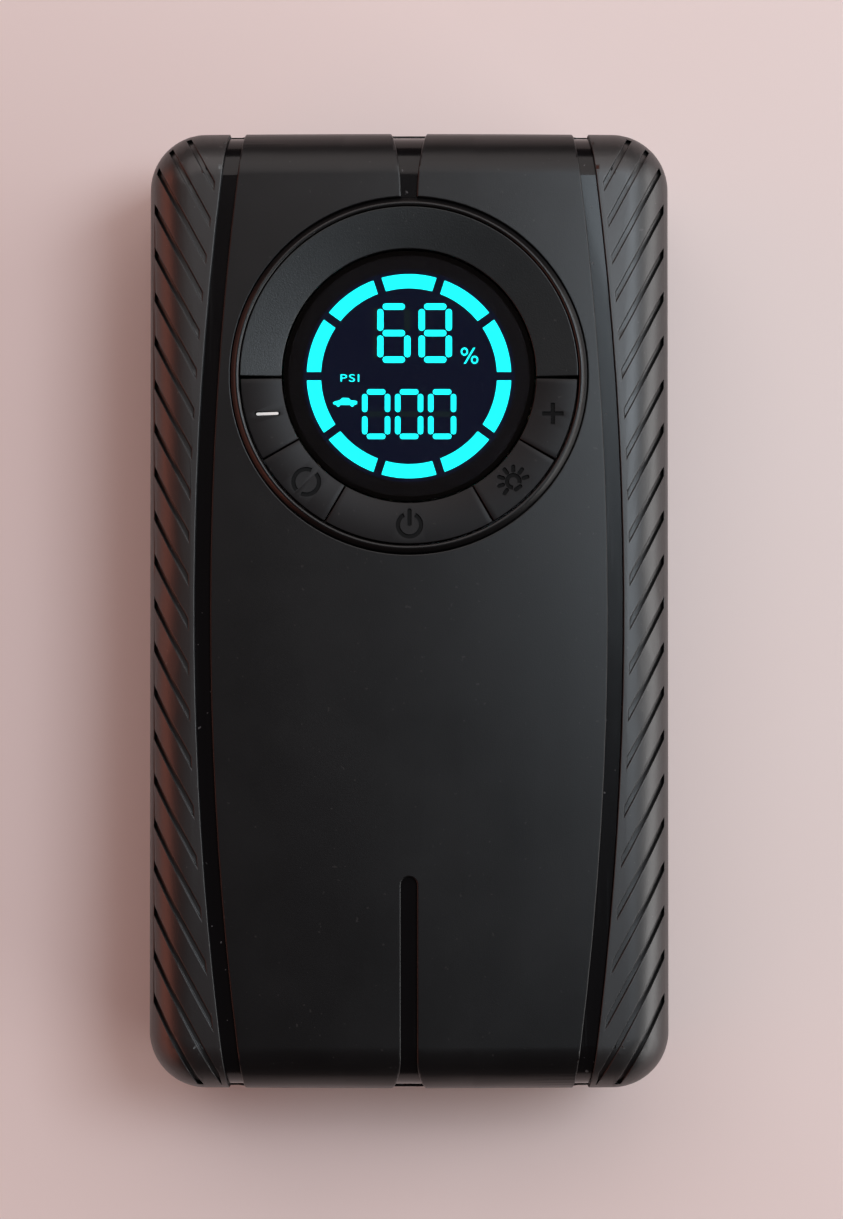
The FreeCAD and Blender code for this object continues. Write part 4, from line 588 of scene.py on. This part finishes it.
def true_crown(piece: bpy.types.Object, radius: float) -> None:
    """Gives the wide face of a crowned panel the exact normals of its crown.

    Args:
        piece: The panel, whose modifiers are made part of its mesh.
        radius: Radius of the crown across the pack, in metres.
    """
    tolerance, small_face, widest_turn = 0.003 * MM, 0.4 * MM * MM, math.radians(25)
    mesh = settled_mesh(piece)
    normals = [Vector(corner.vector) for corner in mesh.corner_normals]
    top = max(vert.co.z for vert in mesh.vertices)
    for face in mesh.polygons:
        for loop in face.loop_indices:
            spot = mesh.vertices[mesh.loops[loop].vertex_index].co
            crown = Vector((spot.x / radius, 0, math.sqrt(1 - (spot.x / radius) ** 2)))
            on_crown = abs(spot.z - top + radius * (1 - crown.z)) < tolerance
            if on_crown and (face.area < small_face or face.normal.angle(crown, math.pi) < widest_turn):
                normals[loop] = crown
    mesh.normals_split_custom_set(normals)
    piece.modifiers.clear()
    piece.data = mesh


def keep_inside(work: BMesh, node: str) -> None:
    """Draws stray corners back into a CAD node's box."""
    low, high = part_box(node)
    for vert in work.verts:
        vert.co = Vector(max(least, min(most, value)) for value, least, most in zip(vert.co, low, high))


def cut_into(piece: bpy.types.Object, cutter: BMesh, finish: bpy.types.Material) -> None:
    """Sinks a shape into a piece.

    Args:
        piece: The piece, changed in place.
        cutter: Closed shapes to take away, freed here.
        finish: The material of the cut's faces.
    """
    mesh = bpy.data.meshes.new("cutter")
    cutter.to_mesh(mesh)
    cutter.free()
    mesh.materials.append(finish)
    tool = add_object("cutter", mesh)
    modifier = piece.modifiers.new("recess", "BOOLEAN")
    modifier.object = tool
    modifier.operation = "DIFFERENCE"
    modifier.solver = "EXACT"
    modifier.material_mode = "TRANSFER"
    fresh = settled_mesh(piece)
    piece.modifiers.clear()
    piece.data = fresh
    bpy.data.objects.remove(tool)


@dataclass
class RoundedCopies:
    """Copies of the pack's shell pieces with their moulded edges rounded.

    Args:
        widths: Each node with the width of its rounded edges, in millimetres.
        finishes: The built material of each slot.
        crowned: Nodes with a crowned face, which is cut across and gets exact normals.
        slice_step: Distance of those cuts in millimetres.
        special: Nodes with a finish of their own within their slot. The crescent's is paler and bluer than the
            shell plastic; the extra paleness is painted sheen for the light its sloped top reflects.
        mirrored: Nodes made from their mirror image, which has the evener mesh.
        lengthened: How far the crescent's two ends are drawn out, in millimetres.
        crescent_end: How far its ends lie from the dial's centre line at most.
        crescent_outer: Its outer radius.
        crescent_skin: Height over which its top surface lies, in millimetres.
        crescent_fall: How steeply that surface falls further towards the window.
        crown_radius: Radius of the front panel's crown in millimetres.
    """
    widths: dict[str, float]
    finishes: dict[str, bpy.types.Material]
    crowned: tuple[str, ...] = ("front_panel",)
    slice_step: float = 6.0
    special: tuple[tuple[str, str], ...] = (("dial_crescent", "crescent_satin"),)
    mirrored: tuple[tuple[str, str], ...] = (("left_grip", "right_grip"),)
    lengthened: float = 0.4
    crescent_end: float = 1.2
    crescent_outer: float = 34.6
    crescent_skin: float = 45.2
    crescent_fall: float = 0.05
    crown_radius: float = 800.0

    def reshape_crescent(self, work: BMesh) -> None:
        """Draws out the crescent's ends and lets its top fall further towards the window."""
        middle = dial_centre().y
        for vert in work.verts:
            if vert.co.y < middle + self.crescent_end * MM:
                vert.co.y -= self.lengthened * MM
            reach = math.hypot(vert.co.x, vert.co.y - middle)
            if vert.co.z > self.crescent_skin * MM:
                vert.co.z -= self.crescent_fall * max(0.0, self.crescent_outer * MM - reach)

    def build(self, node: str, width: float, slot: str) -> None:
        """Copies one node, rounds its edges and puts the copy in its place.

        Args:
            node: The CAD node.
            width: Width of the rounding in millimetres.
            slot: The record's material slot.
        """
        work = bmesh.new()
        twin = dict(self.mirrored).get(node)
        work.from_mesh(frame["nodes"][twin or node].data)
        if twin:
            bmesh.ops.scale(work, verts=work.verts, vec=(-1, 1, 1))
            bmesh.ops.reverse_faces(work, faces=work.faces)
        bmesh.ops.remove_doubles(work, verts=work.verts, dist=2e-6)
        bmesh.ops.dissolve_limit(work, angle_limit=math.radians(0.01), use_dissolve_boundaries=False,
                                 verts=work.verts, edges=work.edges)
        round_edges(work, crisp_edges(work, CRISP_ANGLE), width * MM)
        bmesh.ops.dissolve_degenerate(work, edges=work.edges, dist=0.01 * MM)
        keep_inside(work, node)
        if node == "dial_crescent":
            self.reshape_crescent(work)
        bmesh.ops.triangulate(work, faces=[face for face in work.faces if len(face.verts) > 4])
        if node in self.crowned:
            slice_across(work, self.slice_step)
        finish = self.finishes[dict(self.special).get(node, slot)]
        piece = finish_mesh(f"{node}_shell", work, finish, frame["nodes"][node]["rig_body"])
        even_shading(piece)
        if node in self.crowned:
            true_crown(piece, self.crown_radius * MM)
        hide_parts(node)

    def dress(self) -> None:
        """Builds every copy."""
        slots = {row["node"]: row["material_slot"] for row in frame["record"]["subparts"]}
        for node, width in self.widths.items():
            self.build(node, width, slots[node])


# ---------------------------------------------------------------- dial

class Key(Enum):
    """The five keys, each with the angle of its middle in degrees."""
    minus = 195.0
    mode = 225.0
    power = 270.0
    light = 315.0
    plus = 345.0


SYMBOL_SHIFT: dict[Key, Point] = {Key.minus: (0.15, 0.0), Key.mode: (0.3, -0.45), Key.power: (0.1, -0.45),
                                  Key.light: (0.2, -0.65), Key.plus: (0.28, 0.0)}


@dataclass
class Strokes:
    """Round-ended strokes of a symbol, drawn flat about the origin, in millimetres.

    Args:
        width: Width of the strokes.
        depth: How far they reach above and below the drawing plane.
    """
    width: float
    depth: float

    def bar(self, work: BMesh, start: Point, end: Point) -> None:
        """Adds a straight stroke with round ends."""
        a, b = Vector((*start, 0)), Vector((*end, 0))
        run = b - a
        half = self.width / 2
        made = bmesh.ops.create_circle(work, cap_ends=True, radius=half, segments=20)
        for vert in made["verts"]:
            if vert.co.x > 1e-6:
                vert.co.x += run.length
        turn = Matrix.Rotation(math.atan2(run.y, run.x), 4, "Z")
        bmesh.ops.transform(work, verts=made["verts"], matrix=Matrix.Translation((*start, -self.depth)) @ turn)
        thicken(work, [next(iter(made["verts"][0].link_faces))], self.depth * 2)

    def arc(self, work: BMesh, centre: Point, radius: float, start: float, sweep: float) -> None:
        """Adds an arc stroke.

        Args:
            work: The mesh to add to.
            centre: The arc's centre.
            radius: Its middle radius.
            start: Its first angle in degrees.
            sweep: How far it turns, anticlockwise.
        """
        known = set(work.verts)
        corners = [(radius + side * self.width / 2, up * self.depth)
                   for side, up in ((-1, -1), (1, -1), (1, 1), (-1, 1))]
        turn_outline(work, corners, math.radians(sweep), max(8, int(sweep / 7)))
        matrix = Matrix.Translation((*centre, 0)) @ Matrix.Rotation(math.radians(start), 4, "Z")
        bmesh.ops.transform(work, verts=[vert for vert in work.verts if vert not in known], matrix=matrix)


@dataclass
class Dial:
    """The round control field: collar, five keys and their symbols. Millimetres.

    Args:
        finishes: The built material of each slot.
        key_outer: Outer radius of the keys.
        key_inner: Their inner radius.
        key_fall: How far their tops fall towards the window.
        key_lift: How far their outer edge stands over the CAD key's box.
        key_gap: Gap between two keys.
        key_edge: Width of their rounded edges.
        crescent_gap: Gap between the outermost keys and the crescent.
        symbol_radius: Distance of the symbols from the dial's centre.
        symbol_width: Width of a symbol's strokes.
        symbol_depth: How deep the symbols are sunk.
        symbol_reach: Half the length of the minus and the plus.
        collar_flange: How far the collar's flange reaches under the panel.
        collar_width: Width of its bead.
    """
    finishes: dict[str, bpy.types.Material]
    key_outer: float = 33.6
    key_inner: float = 25.4
    key_fall: float = 0.5
    key_lift: float = 0.01
    key_gap: float = 0.3
    key_edge: float = 0.18
    crescent_gap: float = 0.62
    symbol_radius: float = 29.4
    symbol_width: float = 0.86
    symbol_depth: float = 0.42
    symbol_reach: float = 2.15
    collar_flange: float = 1.5
    collar_width: float = 1.7

    def collar(self, centre: Vector) -> None:
        """Turns the collar round the dial: a rounded bead on a flange.

        Args:
            centre: The dial's centre in metres.
        """
        low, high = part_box("bezel_ring")
        top, base, reach = high[2] / MM, low[2] / MM, (high[0] - low[0]) / 2 / MM
        outer = reach - self.collar_flange
        inner = outer - self.collar_width
        ledge, foot, slope_width = base + 0.5, top - 1.15, 0.95  # flange's top, bead's foot and outer slope
        corners = [(inner, base), (reach, base), (reach, ledge), (outer, ledge), (outer, foot),
                   (outer - slope_width, top), (inner + 0.25, top), (inner, top - 0.3)]
        work = bmesh.new()
        turn_outline(work, corners, math.tau, 160)
        tidy_normals(work)
        bead = [edge for edge in crisp_edges(work, 15.0) if min(vert.co.z for vert in edge.verts) > foot - 0.05]
        round_edges(work, bead, 0.34, clamp=True)
        bmesh.ops.transform(work, verts=work.verts, matrix=placing(centre.x, centre.y, 0))
        keep_inside(work, "bezel_ring")
        satin = self.finishes["collar_satin"]
        piece = finish_mesh("dial_collar", work, satin, HOUSING, 50.0)
        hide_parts("bezel_ring")

    def key_cap(self, key: Key, centre: Vector) -> bpy.types.Object:
        """Builds a key's cap: a sector whose top falls towards the window.

        Args:
            key: The key.
            centre: The dial's centre in metres.

        Returns:
            The piece that stands for the key's node.
        """
        low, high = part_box(f"{key.name}_button")
        top, base = high[2] / MM + self.key_lift, low[2] / MM
        first, last = self.reach(key)
        span = last - first
        work = bmesh.new()
        corners = [(self.key_inner, base), (self.key_outer, base), (self.key_outer, top),
                   (self.key_inner, top - self.key_fall)]
        turn_outline(work, corners, span, max(8, round(math.degrees(span) / 2)))
        bmesh.ops.rotate(work, verts=work.verts, matrix=Matrix.Rotation(first, 3, "Z"))
        tidy_normals(work)
        rims = [edge for edge in crisp_edges(work, CRISP_ANGLE)
                if max(vert.co.z for vert in edge.verts) > base + 0.1]
        round_edges(work, rims, self.key_edge, clamp=True)
        bmesh.ops.transform(work, verts=work.verts, matrix=placing(centre.x, centre.y, 0))
        piece = finish_mesh(f"{key.name}_key", work, self.finishes["key_plastic"],
                            frame["nodes"][f"{key.name}_button"]["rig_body"])
        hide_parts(f"{key.name}_button")
        return piece

    @property
    def key_middle(self) -> float:
        """Mean radius of the keys."""
        return (self.key_inner + self.key_outer) / 2

    def reach(self, key: Key) -> tuple[float, float]:
        """The angles at which a key starts and ends, in radians."""
        half = math.radians(30 if key is Key.power else 15) - self.key_gap / 2 / self.key_middle
        first, last = math.radians(key.value) - half, math.radians(key.value) + half
        drop = (self.crescent_gap - self.key_gap / 2) / self.key_middle
        return first + (drop if key is Key.minus else 0.0), last - (drop if key is Key.plus else 0.0)

    def symbol(self, key: Key) -> BMesh:
        """Draws a key's symbol about the origin.

        Args:
            key: The key.

        Returns:
            The symbol's strokes.
        """
        work = bmesh.new()
        pen = Strokes(self.symbol_width, self.symbol_depth)
        if key is Key.minus:
            pen.bar(work, (-self.symbol_reach, 0), (self.symbol_reach, 0))
        elif key is Key.plus:
            self.cross(work, self.symbol_reach)
        elif key is Key.mode:
            for start in (66, 246):
                pen.arc(work, (0, 0), 2.55, start, 154)
        elif key is Key.power:
            pen.arc(work, (0, 0), 2.3, 118, 304)
            pen.bar(work, (0, 0.2), (0, 2.9))
        else:
            rise, near, far = 0.35, 2.15, 2.95  # bulb's centre over the origin, and both ends of its rays
            pen.arc(work, (0, rise), 1.25, -52, 284)
            pen.bar(work, (-0.55, -1.25), (0.55, -1.25))
            for angle in map(math.radians, range(-18, 199, 36)):
                c, s = math.cos(angle), math.sin(angle)
                pen.bar(work, (c * near, rise + s * near), (c * far, rise + s * far))
        bmesh.ops.recalc_face_normals(work, faces=work.faces)
        return work

    def cross(self, work: BMesh, reach: float) -> None:
        """Adds a plus sign as one outline."""
        half = self.symbol_width / 2
        made = bmesh.ops.create_grid(work, x_segments=3, y_segments=3, size=reach)
        steps = {round(place, 4): moved for place, moved in
                 ((-reach, -reach), (-reach / 3, -half), (reach / 3, half), (reach, reach))}
        for vert in made["verts"]:
            vert.co.x = steps[round(vert.co.x, 4)]
            vert.co.y = steps[round(vert.co.y, 4)]
        corners = [face for face in work.faces
                   if abs(face.calc_center_median().x) > half and abs(face.calc_center_median().y) > half]
        bmesh.ops.delete(work, geom=corners, context="FACES")
        bmesh.ops.dissolve_faces(work, faces=work.faces)
        bmesh.ops.translate(work, verts=work.verts, vec=(0, 0, -self.symbol_depth))
        thicken(work, list(work.faces), self.symbol_depth * 2)

    def engrave(self, key: Key, piece: bpy.types.Object, centre: Vector, top: float) -> None:
        """Sinks a key's symbol into its top.

        Args:
            key: The key.
            piece: The key's piece.
            centre: The dial's centre in metres.
            top: Height of the key's top at the symbol, in metres.
        """
        work = self.symbol(key)
        angle = math.radians(key.value)
        out = Vector((math.cos(angle), math.sin(angle), 0))
        upright = 0.0 if key is not Key.light else math.radians(key.value - 270) * 0.8
        slope = math.atan(self.key_fall / (self.key_outer - self.key_inner))
        tilt = Matrix.Rotation(-slope, 4, Vector((0, 0, 1)).cross(out))
        spot = centre + (out * self.symbol_radius + Vector((*SYMBOL_SHIFT[key], 0))) * MM
        matrix = (Matrix.Translation((spot.x, spot.y, top)) @ tilt @ Matrix.Rotation(upright, 4, "Z")
                  @ Matrix.Scale(MM, 4))
        bmesh.ops.transform(work, verts=work.verts, matrix=matrix)
        # The cut faces take the darker recess finish, which paints shade into the symbols.
        cut_into(piece, work, self.finishes["symbol_recess"])
        piece.data.shade_smooth()
        piece.data.set_sharp_from_angle(angle=math.radians(SMOOTH_ANGLE))

    def lay_minus_glint(self, centre: Vector, top: float) -> None:
        """Lays a pale bar in the minus key's recess."""
        # A pale bar in the minus recess: a painted glint, white plastic that stands for the light the minus
        # catches.
        work = bmesh.new()
        pen = Strokes(self.symbol_width - 0.3, 0.12)
        pen.bar(work, (-1.95, -0.1), (1.95, 0.04))
        bmesh.ops.recalc_face_normals(work, faces=work.faces)
        angle = math.radians(Key.minus.value)
        spot = centre + Vector((math.cos(angle), math.sin(angle), 0)) * self.symbol_radius * MM
        spot += Vector((*SYMBOL_SHIFT[Key.minus], 0)) * MM
        bmesh.ops.transform(work, verts=work.verts, matrix=placing(spot.x, spot.y, top - 0.3 * MM))
        finish_mesh("minus_mark", work, self.finishes["reflector_white"],
                    frame["nodes"]["minus_button"]["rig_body"])

    def dress(self) -> None:
        """Builds the collar and the keys, and sinks the keys' symbols."""
        centre = dial_centre()
        self.collar(centre)
        share = (self.key_outer - self.symbol_radius) / (self.key_outer - self.key_inner)
        for key in Key:
            piece = self.key_cap(key, centre)
            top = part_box(f"{key.name}_button")[1][2] + (self.key_lift - self.key_fall * share) * MM
            self.engrave(key, piece, centre, top)
            # The minus key gets its painted glint.
            if key is Key.minus:
                self.lay_minus_glint(centre, top)


# ---------------------------------------------------------------- display

class Lamp(Enum):
    """Whether a part of the display is lit."""
    on = "lit_segment"
    off = "dim_segment"


@dataclass(frozen=True)
class Figure:
    """A figure of seven segments, in millimetres from the dial's centre.

    Args:
        left: Left edge of the figure.
        top: Top edge.
        width: Its width.
        height: Its height.
        lit: Letters of the lit segments.
        shown: Letters of the segments that can be seen.
        bar: Width of the segments.
    """
    left: float
    top: float
    width: float
    height: float
    lit: str
    shown: str = "abcdefg"
    bar: float = 1.28


FIGURES = (Figure(-6.39, 14.57, 6.7, 11.9, "acdefg"), Figure(1.9, 14.57, 6.7, 11.9, "abcdefg"),
           Figure(-13.0, 14.57, 6.7, 11.9, "", "bc", 0.9),
           *(Figure(left, -2.6, 5.65, 10.0, "abcdef", bar=1.1) for left in (-9.4, -2.8, 3.8)))


@dataclass
class Display:
    """The lit figures under the smoked window. Millimetres, about the dial's centre.

    Args:
        finishes: The built material of each slot.
        ring_radius: Middle radius of the charge ring.
        ring_width: Width of its bars.
        ring_bars: How many bars it has.
        ring_gap: Gap between the bars.
        thickness: Thickness of the printed figures.
        mask_inner: Inner radius of the window's black border.
        mask_outer: Its outer radius.
        frame_rise: How far the module's frame stands over its face.
        haze_level: Height of the haze over that face.
        figure_level: Height of the figures over it.
        mask_level: Height of the border over it.
    """
    finishes: dict[str, bpy.types.Material]
    ring_radius: float = 19.02
    ring_width: float = 2.84
    ring_bars: int = 10
    ring_gap: float = 1.7
    thickness: float = 0.04
    mask_inner: float = 21.2
    mask_outer: float = 24.9
    frame_rise: float = 0.3
    haze_level: float = 0.02
    figure_level: float = 0.05
    mask_level: float = 0.2

    def flat(self, work: BMesh, corners: list[Point]) -> None:
        """Adds one flat figure from its corners, anticlockwise."""
        work.faces.new([work.verts.new((x, y, 0)) for x, y in corners])

    def ring(self, work: BMesh) -> None:
        """Adds the ring of bars, with parallel gaps."""
        step = 2 * math.pi / self.ring_bars
        inner, outer = self.ring_radius - self.ring_width / 2, self.ring_radius + self.ring_width / 2
        for place in range(self.ring_bars):
            middle = math.pi / 2 + step * place
            rim = []
            for radius, order in ((inner, 1), (outer, -1)):
                half = step / 2 - math.asin(self.ring_gap / 2 / radius)
                angles = [middle + order * half * t / 8 for t in range(-8, 9)]
                rim += [(radius * math.cos(angle), radius * math.sin(angle)) for angle in angles]
            self.flat(work, rim[::-1])

    def digit(self, works: dict[Lamp, BMesh], figure: Figure) -> None:
        """Adds a figure to the lit and the unlit mesh."""
        bar = figure.bar
        x0, x1 = figure.left + bar / 2, figure.left + figure.width - bar / 2
        y0, y1 = figure.top - bar / 2, figure.top - figure.height / 2
        y2 = figure.top - figure.height + bar / 2
        lines = {"a": ((x0, y0), (x1, y0)), "b": ((x1, y0), (x1, y1)), "c": ((x1, y1), (x1, y2)),
                 "d": ((x0, y2), (x1, y2)), "e": ((x0, y1), (x0, y2)), "f": ((x0, y0), (x0, y1)),
                 "g": ((x0, y1), (x1, y1))}
        for letter in figure.shown:
            (ax, ay), (bx, by) = lines[letter]
            length = math.hypot(bx - ax, by - ay)
            ux, uy = (bx - ax) / length, (by - ay) / length
            near, far, taper = bar * 0.34, length - bar * 0.34, bar * 0.42
            shoulder, lean = taper * 0.35, bar * 0.36
            outline = [(near, 0), (near + shoulder, -lean), (near + taper, -bar / 2), (far - taper, -bar / 2),
                       (far - shoulder, -lean), (far, 0), (far - shoulder, lean),
                       (far - taper, bar / 2), (near + taper, bar / 2), (near + shoulder, lean)]
            corners = [(ax + ux * along - uy * side, ay + uy * along + ux * side) for along, side in outline]
            self.flat(works[Lamp.on if letter in figure.lit else Lamp.off], corners)

    def car(self, work: BMesh, x: float, y: float, scale: float) -> None:
        """Adds a small side view of a car."""
        outline = [(-2.4, -0.45), (-1.75, -0.62), (1.75, -0.62), (2.35, -0.45), (2.4, 0.05), (2.1, 0.25),
                   (1.15, 0.32), (0.65, 0.78), (-0.55, 0.82), (-1.15, 0.32), (-2.1, 0.1), (-2.45, -0.1)]
        self.flat(work, [(x + px * scale, y + py * scale) for px, py in outline])
        for wheel in (-1.4, 1.4):
            made = bmesh.ops.create_circle(work, cap_ends=True, radius=0.36 * scale, segments=16)
            bmesh.ops.translate(work, verts=made["verts"], vec=(x + wheel * scale, y - 0.62 * scale, 0))

    def percent(self, work: BMesh, x: float, y: float) -> None:
        """Adds a percent sign."""
        self.flat(work, [(x - 1.15, y - 1.6), (x - 0.75, y - 1.6), (x + 1.15, y + 1.6), (x + 0.75, y + 1.6)])
        for side in (-1, 1):
            loop = washer(work, 0.42, 0.74, 18, 1.12)
            bmesh.ops.translate(work, verts=loop, vec=(x + side * 1.02, y - side * 0.82, 0))

    def letters(self, text: str, x: float, y: float, width: float, height: float) -> bpy.types.Mesh:
        """Makes plain lettering as a mesh of a given size, in millimetres."""
        curve = bpy.data.curves.new("unit_letters", "FONT")
        curve.body = text
        curve.size = height / 0.7
        curve.space_character = 1.15
        holder = add_object("unit_letters", curve)
        mesh = settled_mesh(holder)
        bpy.data.objects.remove(holder)
        low, high = (pick(vert.co.x for vert in mesh.vertices) for pick in (min, max))
        mesh.transform(Matrix.Translation((x, y, 0)) @ Matrix.Diagonal((width / (high - low), 1, 1, 1))
                       @ Matrix.Translation((-low, 0, 0)))
        return mesh

    def lay(self, name: str, work: BMesh, finish: str, level: float) -> None:
        """Lays a flat shape under the window.

        Args:
            name: The piece's name.
            work: Its shape about the origin, in millimetres.
            finish: Its finish.
            level: Its height over the module's face, in millimetres.
        """
        centre = dial_centre()
        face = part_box("display_module")[1][2] - self.frame_rise * MM
        bmesh.ops.transform(work, verts=work.verts, matrix=placing(centre.x, centre.y, face + level * MM))
        finish_mesh(name, work, self.finishes[finish], HOUSING)

    def mask(self) -> None:
        """Adds the black border printed behind the window's rim."""
        work = bmesh.new()
        washer(work, self.mask_inner, self.mask_outer, 128)
        thicken(work, list(work.faces), self.thickness, keep=True)
        bmesh.ops.recalc_face_normals(work, faces=work.faces)
        self.lay("window_border", work, "display_face", self.mask_level)

    def haze(self) -> None:
        """Adds the faint light that spreads under the window."""
        work = bmesh.new()
        bmesh.ops.create_cone(work, cap_ends=True, cap_tris=False, segments=96, radius1=self.mask_inner,
                              radius2=self.mask_inner, depth=self.thickness / 2)
        self.lay("window_haze", work, "display_haze", self.haze_level)

    def dress(self) -> None:
        """Builds the border, the haze, and the lit and unlit figures just above the display's face."""
        works = {Lamp.on: bmesh.new(), Lamp.off: bmesh.new()}
        lit = works[Lamp.on]
        self.ring(lit)
        for figure in FIGURES:
            self.digit(works, figure)
        self.percent(lit, 12.1, 4.1)
        self.car(lit, -12.75, -5.15, 1.0)
        lit.from_mesh(self.letters("PSI", -13.7, -1.1, 3.75, 1.5))
        self.mask()
        self.haze()
        for lamp, work in works.items():
            bmesh.ops.recalc_face_normals(work, faces=work.faces)
            for item in work.faces:
                if item.normal.z < 0:
                    item.normal_flip()
            thicken(work, list(work.faces), self.thickness, keep=True)
            bmesh.ops.recalc_face_normals(work, faces=work.faces)
            self.lay(f"{lamp.value}s", work, lamp.value, self.figure_level)


# ---------------------------------------------------------------- stage

@dataclass(frozen=True)
class SoftLamp:
    """A soft lamp that faces the pack.

    Args:
        name: The lamp's name.
        spot: Its place in metres.
        size: Width and height of its panel.
        power: Its power in watts.
        colour: Its colour.
    """
    name: str
    spot: tuple[float, float, float]
    size: Point
    power: float
    colour: Colour

    def build(self) -> None:
        """Builds the lamp."""
        light = bpy.data.lights.new(self.name, "AREA")
        light.shape = "RECTANGLE"
        light.size, light.size_y = self.size
        light.energy = self.power
        light.color = self.colour
        holder = add_object(self.name, light)
        holder.location = self.spot
        holder.rotation_euler = (LAMP_AIM - Vector(self.spot)).to_track_quat("-Z", "Y").to_euler()


LAMPS = (
    SoftLamp("window_light", (1.5, -0.05, 0.46), (2.2, 0.86), 23.0, (1.0, 0.99, 0.985)),
    SoftLamp("room_light", (0.0, 1.15, 1.4), (2.6, 1.6), 19.0, (1.0, 0.9, 0.88)),
    SoftLamp("ceiling_light", (0.44, 0.2, 1.0), (0.36, 0.46), 4.5, (0.8, 0.91, 1.0)),
    SoftLamp("side_light", (-1.3, -0.1, 0.36), (2.0, 0.66), 7.5, (1.0, 0.3, 0.2)),
)


@dataclass
class Studio:
    """The table, the soft light and the camera.

    Args:
        table_colour: Colour of the table top.
        table_size: Its side in metres.
        eye: Height of the camera over the front panel, in metres.
        view_height: Height of the view at the front panel, in metres.
        view_across: How far the camera stands to the right, in metres.
        tilt: How far it leans, in degrees.
        sensor: Height of its sensor in millimetres.
        fill: Strength of the light from all round.
        fill_colour: Its colour.
        wall_colour: Colour of the wall behind the table.
    """
    table_colour: Colour = (0.79, 0.68, 0.655)
    table_size: float = 3.0
    eye: float = 0.56
    view_height: float = 0.2425
    view_across: float = 0.0025
    tilt: float = 0.73
    sensor: float = 24.0
    fill: float = 0.06
    fill_colour: Colour = (1.0, 0.8, 0.76)
    wall_colour: Colour = (0.72, 0.66, 0.65)

    def table(self) -> None:
        """Builds the table top."""
        work = bmesh.new()
        bmesh.ops.create_grid(work, x_segments=2, y_segments=2, size=self.table_size / 2)
        mesh = bpy.data.meshes.new("table_top")
        work.to_mesh(mesh)
        work.free()
        graph = Paint("table_paint")
        cloud = graph.noise(5.0, 3.0, 0.5)
        warm = tuple(value * scale for value, scale in zip(self.table_colour, (1.0, 0.965, 0.955)))
        paint = graph.mix(cloud.above(0.5, 0.5), self.table_colour, warm)
        mesh.materials.append(graph.principled(Base_Color=paint, Roughness=0.75, Specular_IOR_Level=0.2))
        table = add_object("table_top", mesh)
        table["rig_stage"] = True

    def camera(self) -> None:
        """Places the camera straight over the front panel."""
        lens = bpy.data.cameras.new("camera")
        lens.sensor_fit = "VERTICAL"
        lens.sensor_height = self.sensor
        lens.lens = self.sensor * self.eye / self.view_height
        lens.clip_start = 0.05
        holder = add_object("camera", lens)
        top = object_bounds()[1][2]
        lean = math.radians(self.tilt)
        holder.location = (self.view_across, -self.eye * math.sin(lean), top + self.eye * math.cos(lean))
        holder.rotation_euler = (lean, 0, 0)
        bpy.context.scene.camera = holder

    def room(self) -> None:
        """Adds faint light from all round, which the camera sees as a pale wall."""
        world = bpy.data.worlds.new("room")
        world.use_nodes = True
        graph = Graph(world.node_tree)
        pale = graph.node("ShaderNodeLightPath", {}, {}, "Is Camera Ray")
        colour = graph.node("ShaderNodeMix", {"data_type": "RGBA"},
                            {0: pale, 6: self.fill_colour, 7: self.wall_colour}, 2)
        strength = pale * (1 - self.fill) + self.fill
        sky = graph.node("ShaderNodeBackground", {}, {"Color": colour, "Strength": strength})
        graph.node("ShaderNodeOutputWorld", {}, {"Surface": sky})
        bpy.context.scene.world = world

    def build(self) -> None:
        """Builds the whole set."""
        self.table()
        self.camera()
        for lamp in LAMPS:
            lamp.build()
        self.room()
        bpy.context.scene.view_settings.view_transform = "Standard"


def dress_nodes(finishes: dict[str, bpy.types.Material]) -> None:
    """Gives every CAD node the finish of its slot."""
    for row in frame["record"]["subparts"]:
        finish = finishes[row["material_slot"]]
        mesh = frame["nodes"][row["node"]].data
        if not mesh.materials:
            mesh.materials.append(finish)
        for place in range(len(mesh.materials)):
            mesh.materials[place] = finish


def main() -> None:
    """Builds the pack's looks in order."""
    logging.basicConfig(level=logging.INFO, format="%(message)s")
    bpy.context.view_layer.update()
    finishes = {finish.name: finish.value.material(finish.name) for finish in Finish}
    dress_nodes(finishes)
    RoundedCopies({
        "front_panel": 0.32, "left_grip": 0.15, "right_grip": 0.15, "dial_crescent": 0.25,
        "top_fascia": 0.3, "bottom_fascia": 0.3, "jump_cover": 0.3, "usb_cover": 0.3, "rear_shell": 0.25,
    }, finishes).dress()
    Dial(finishes).dress()
    Display(finishes).dress()
    Studio().build()


if __name__ == "__main__":
    main()
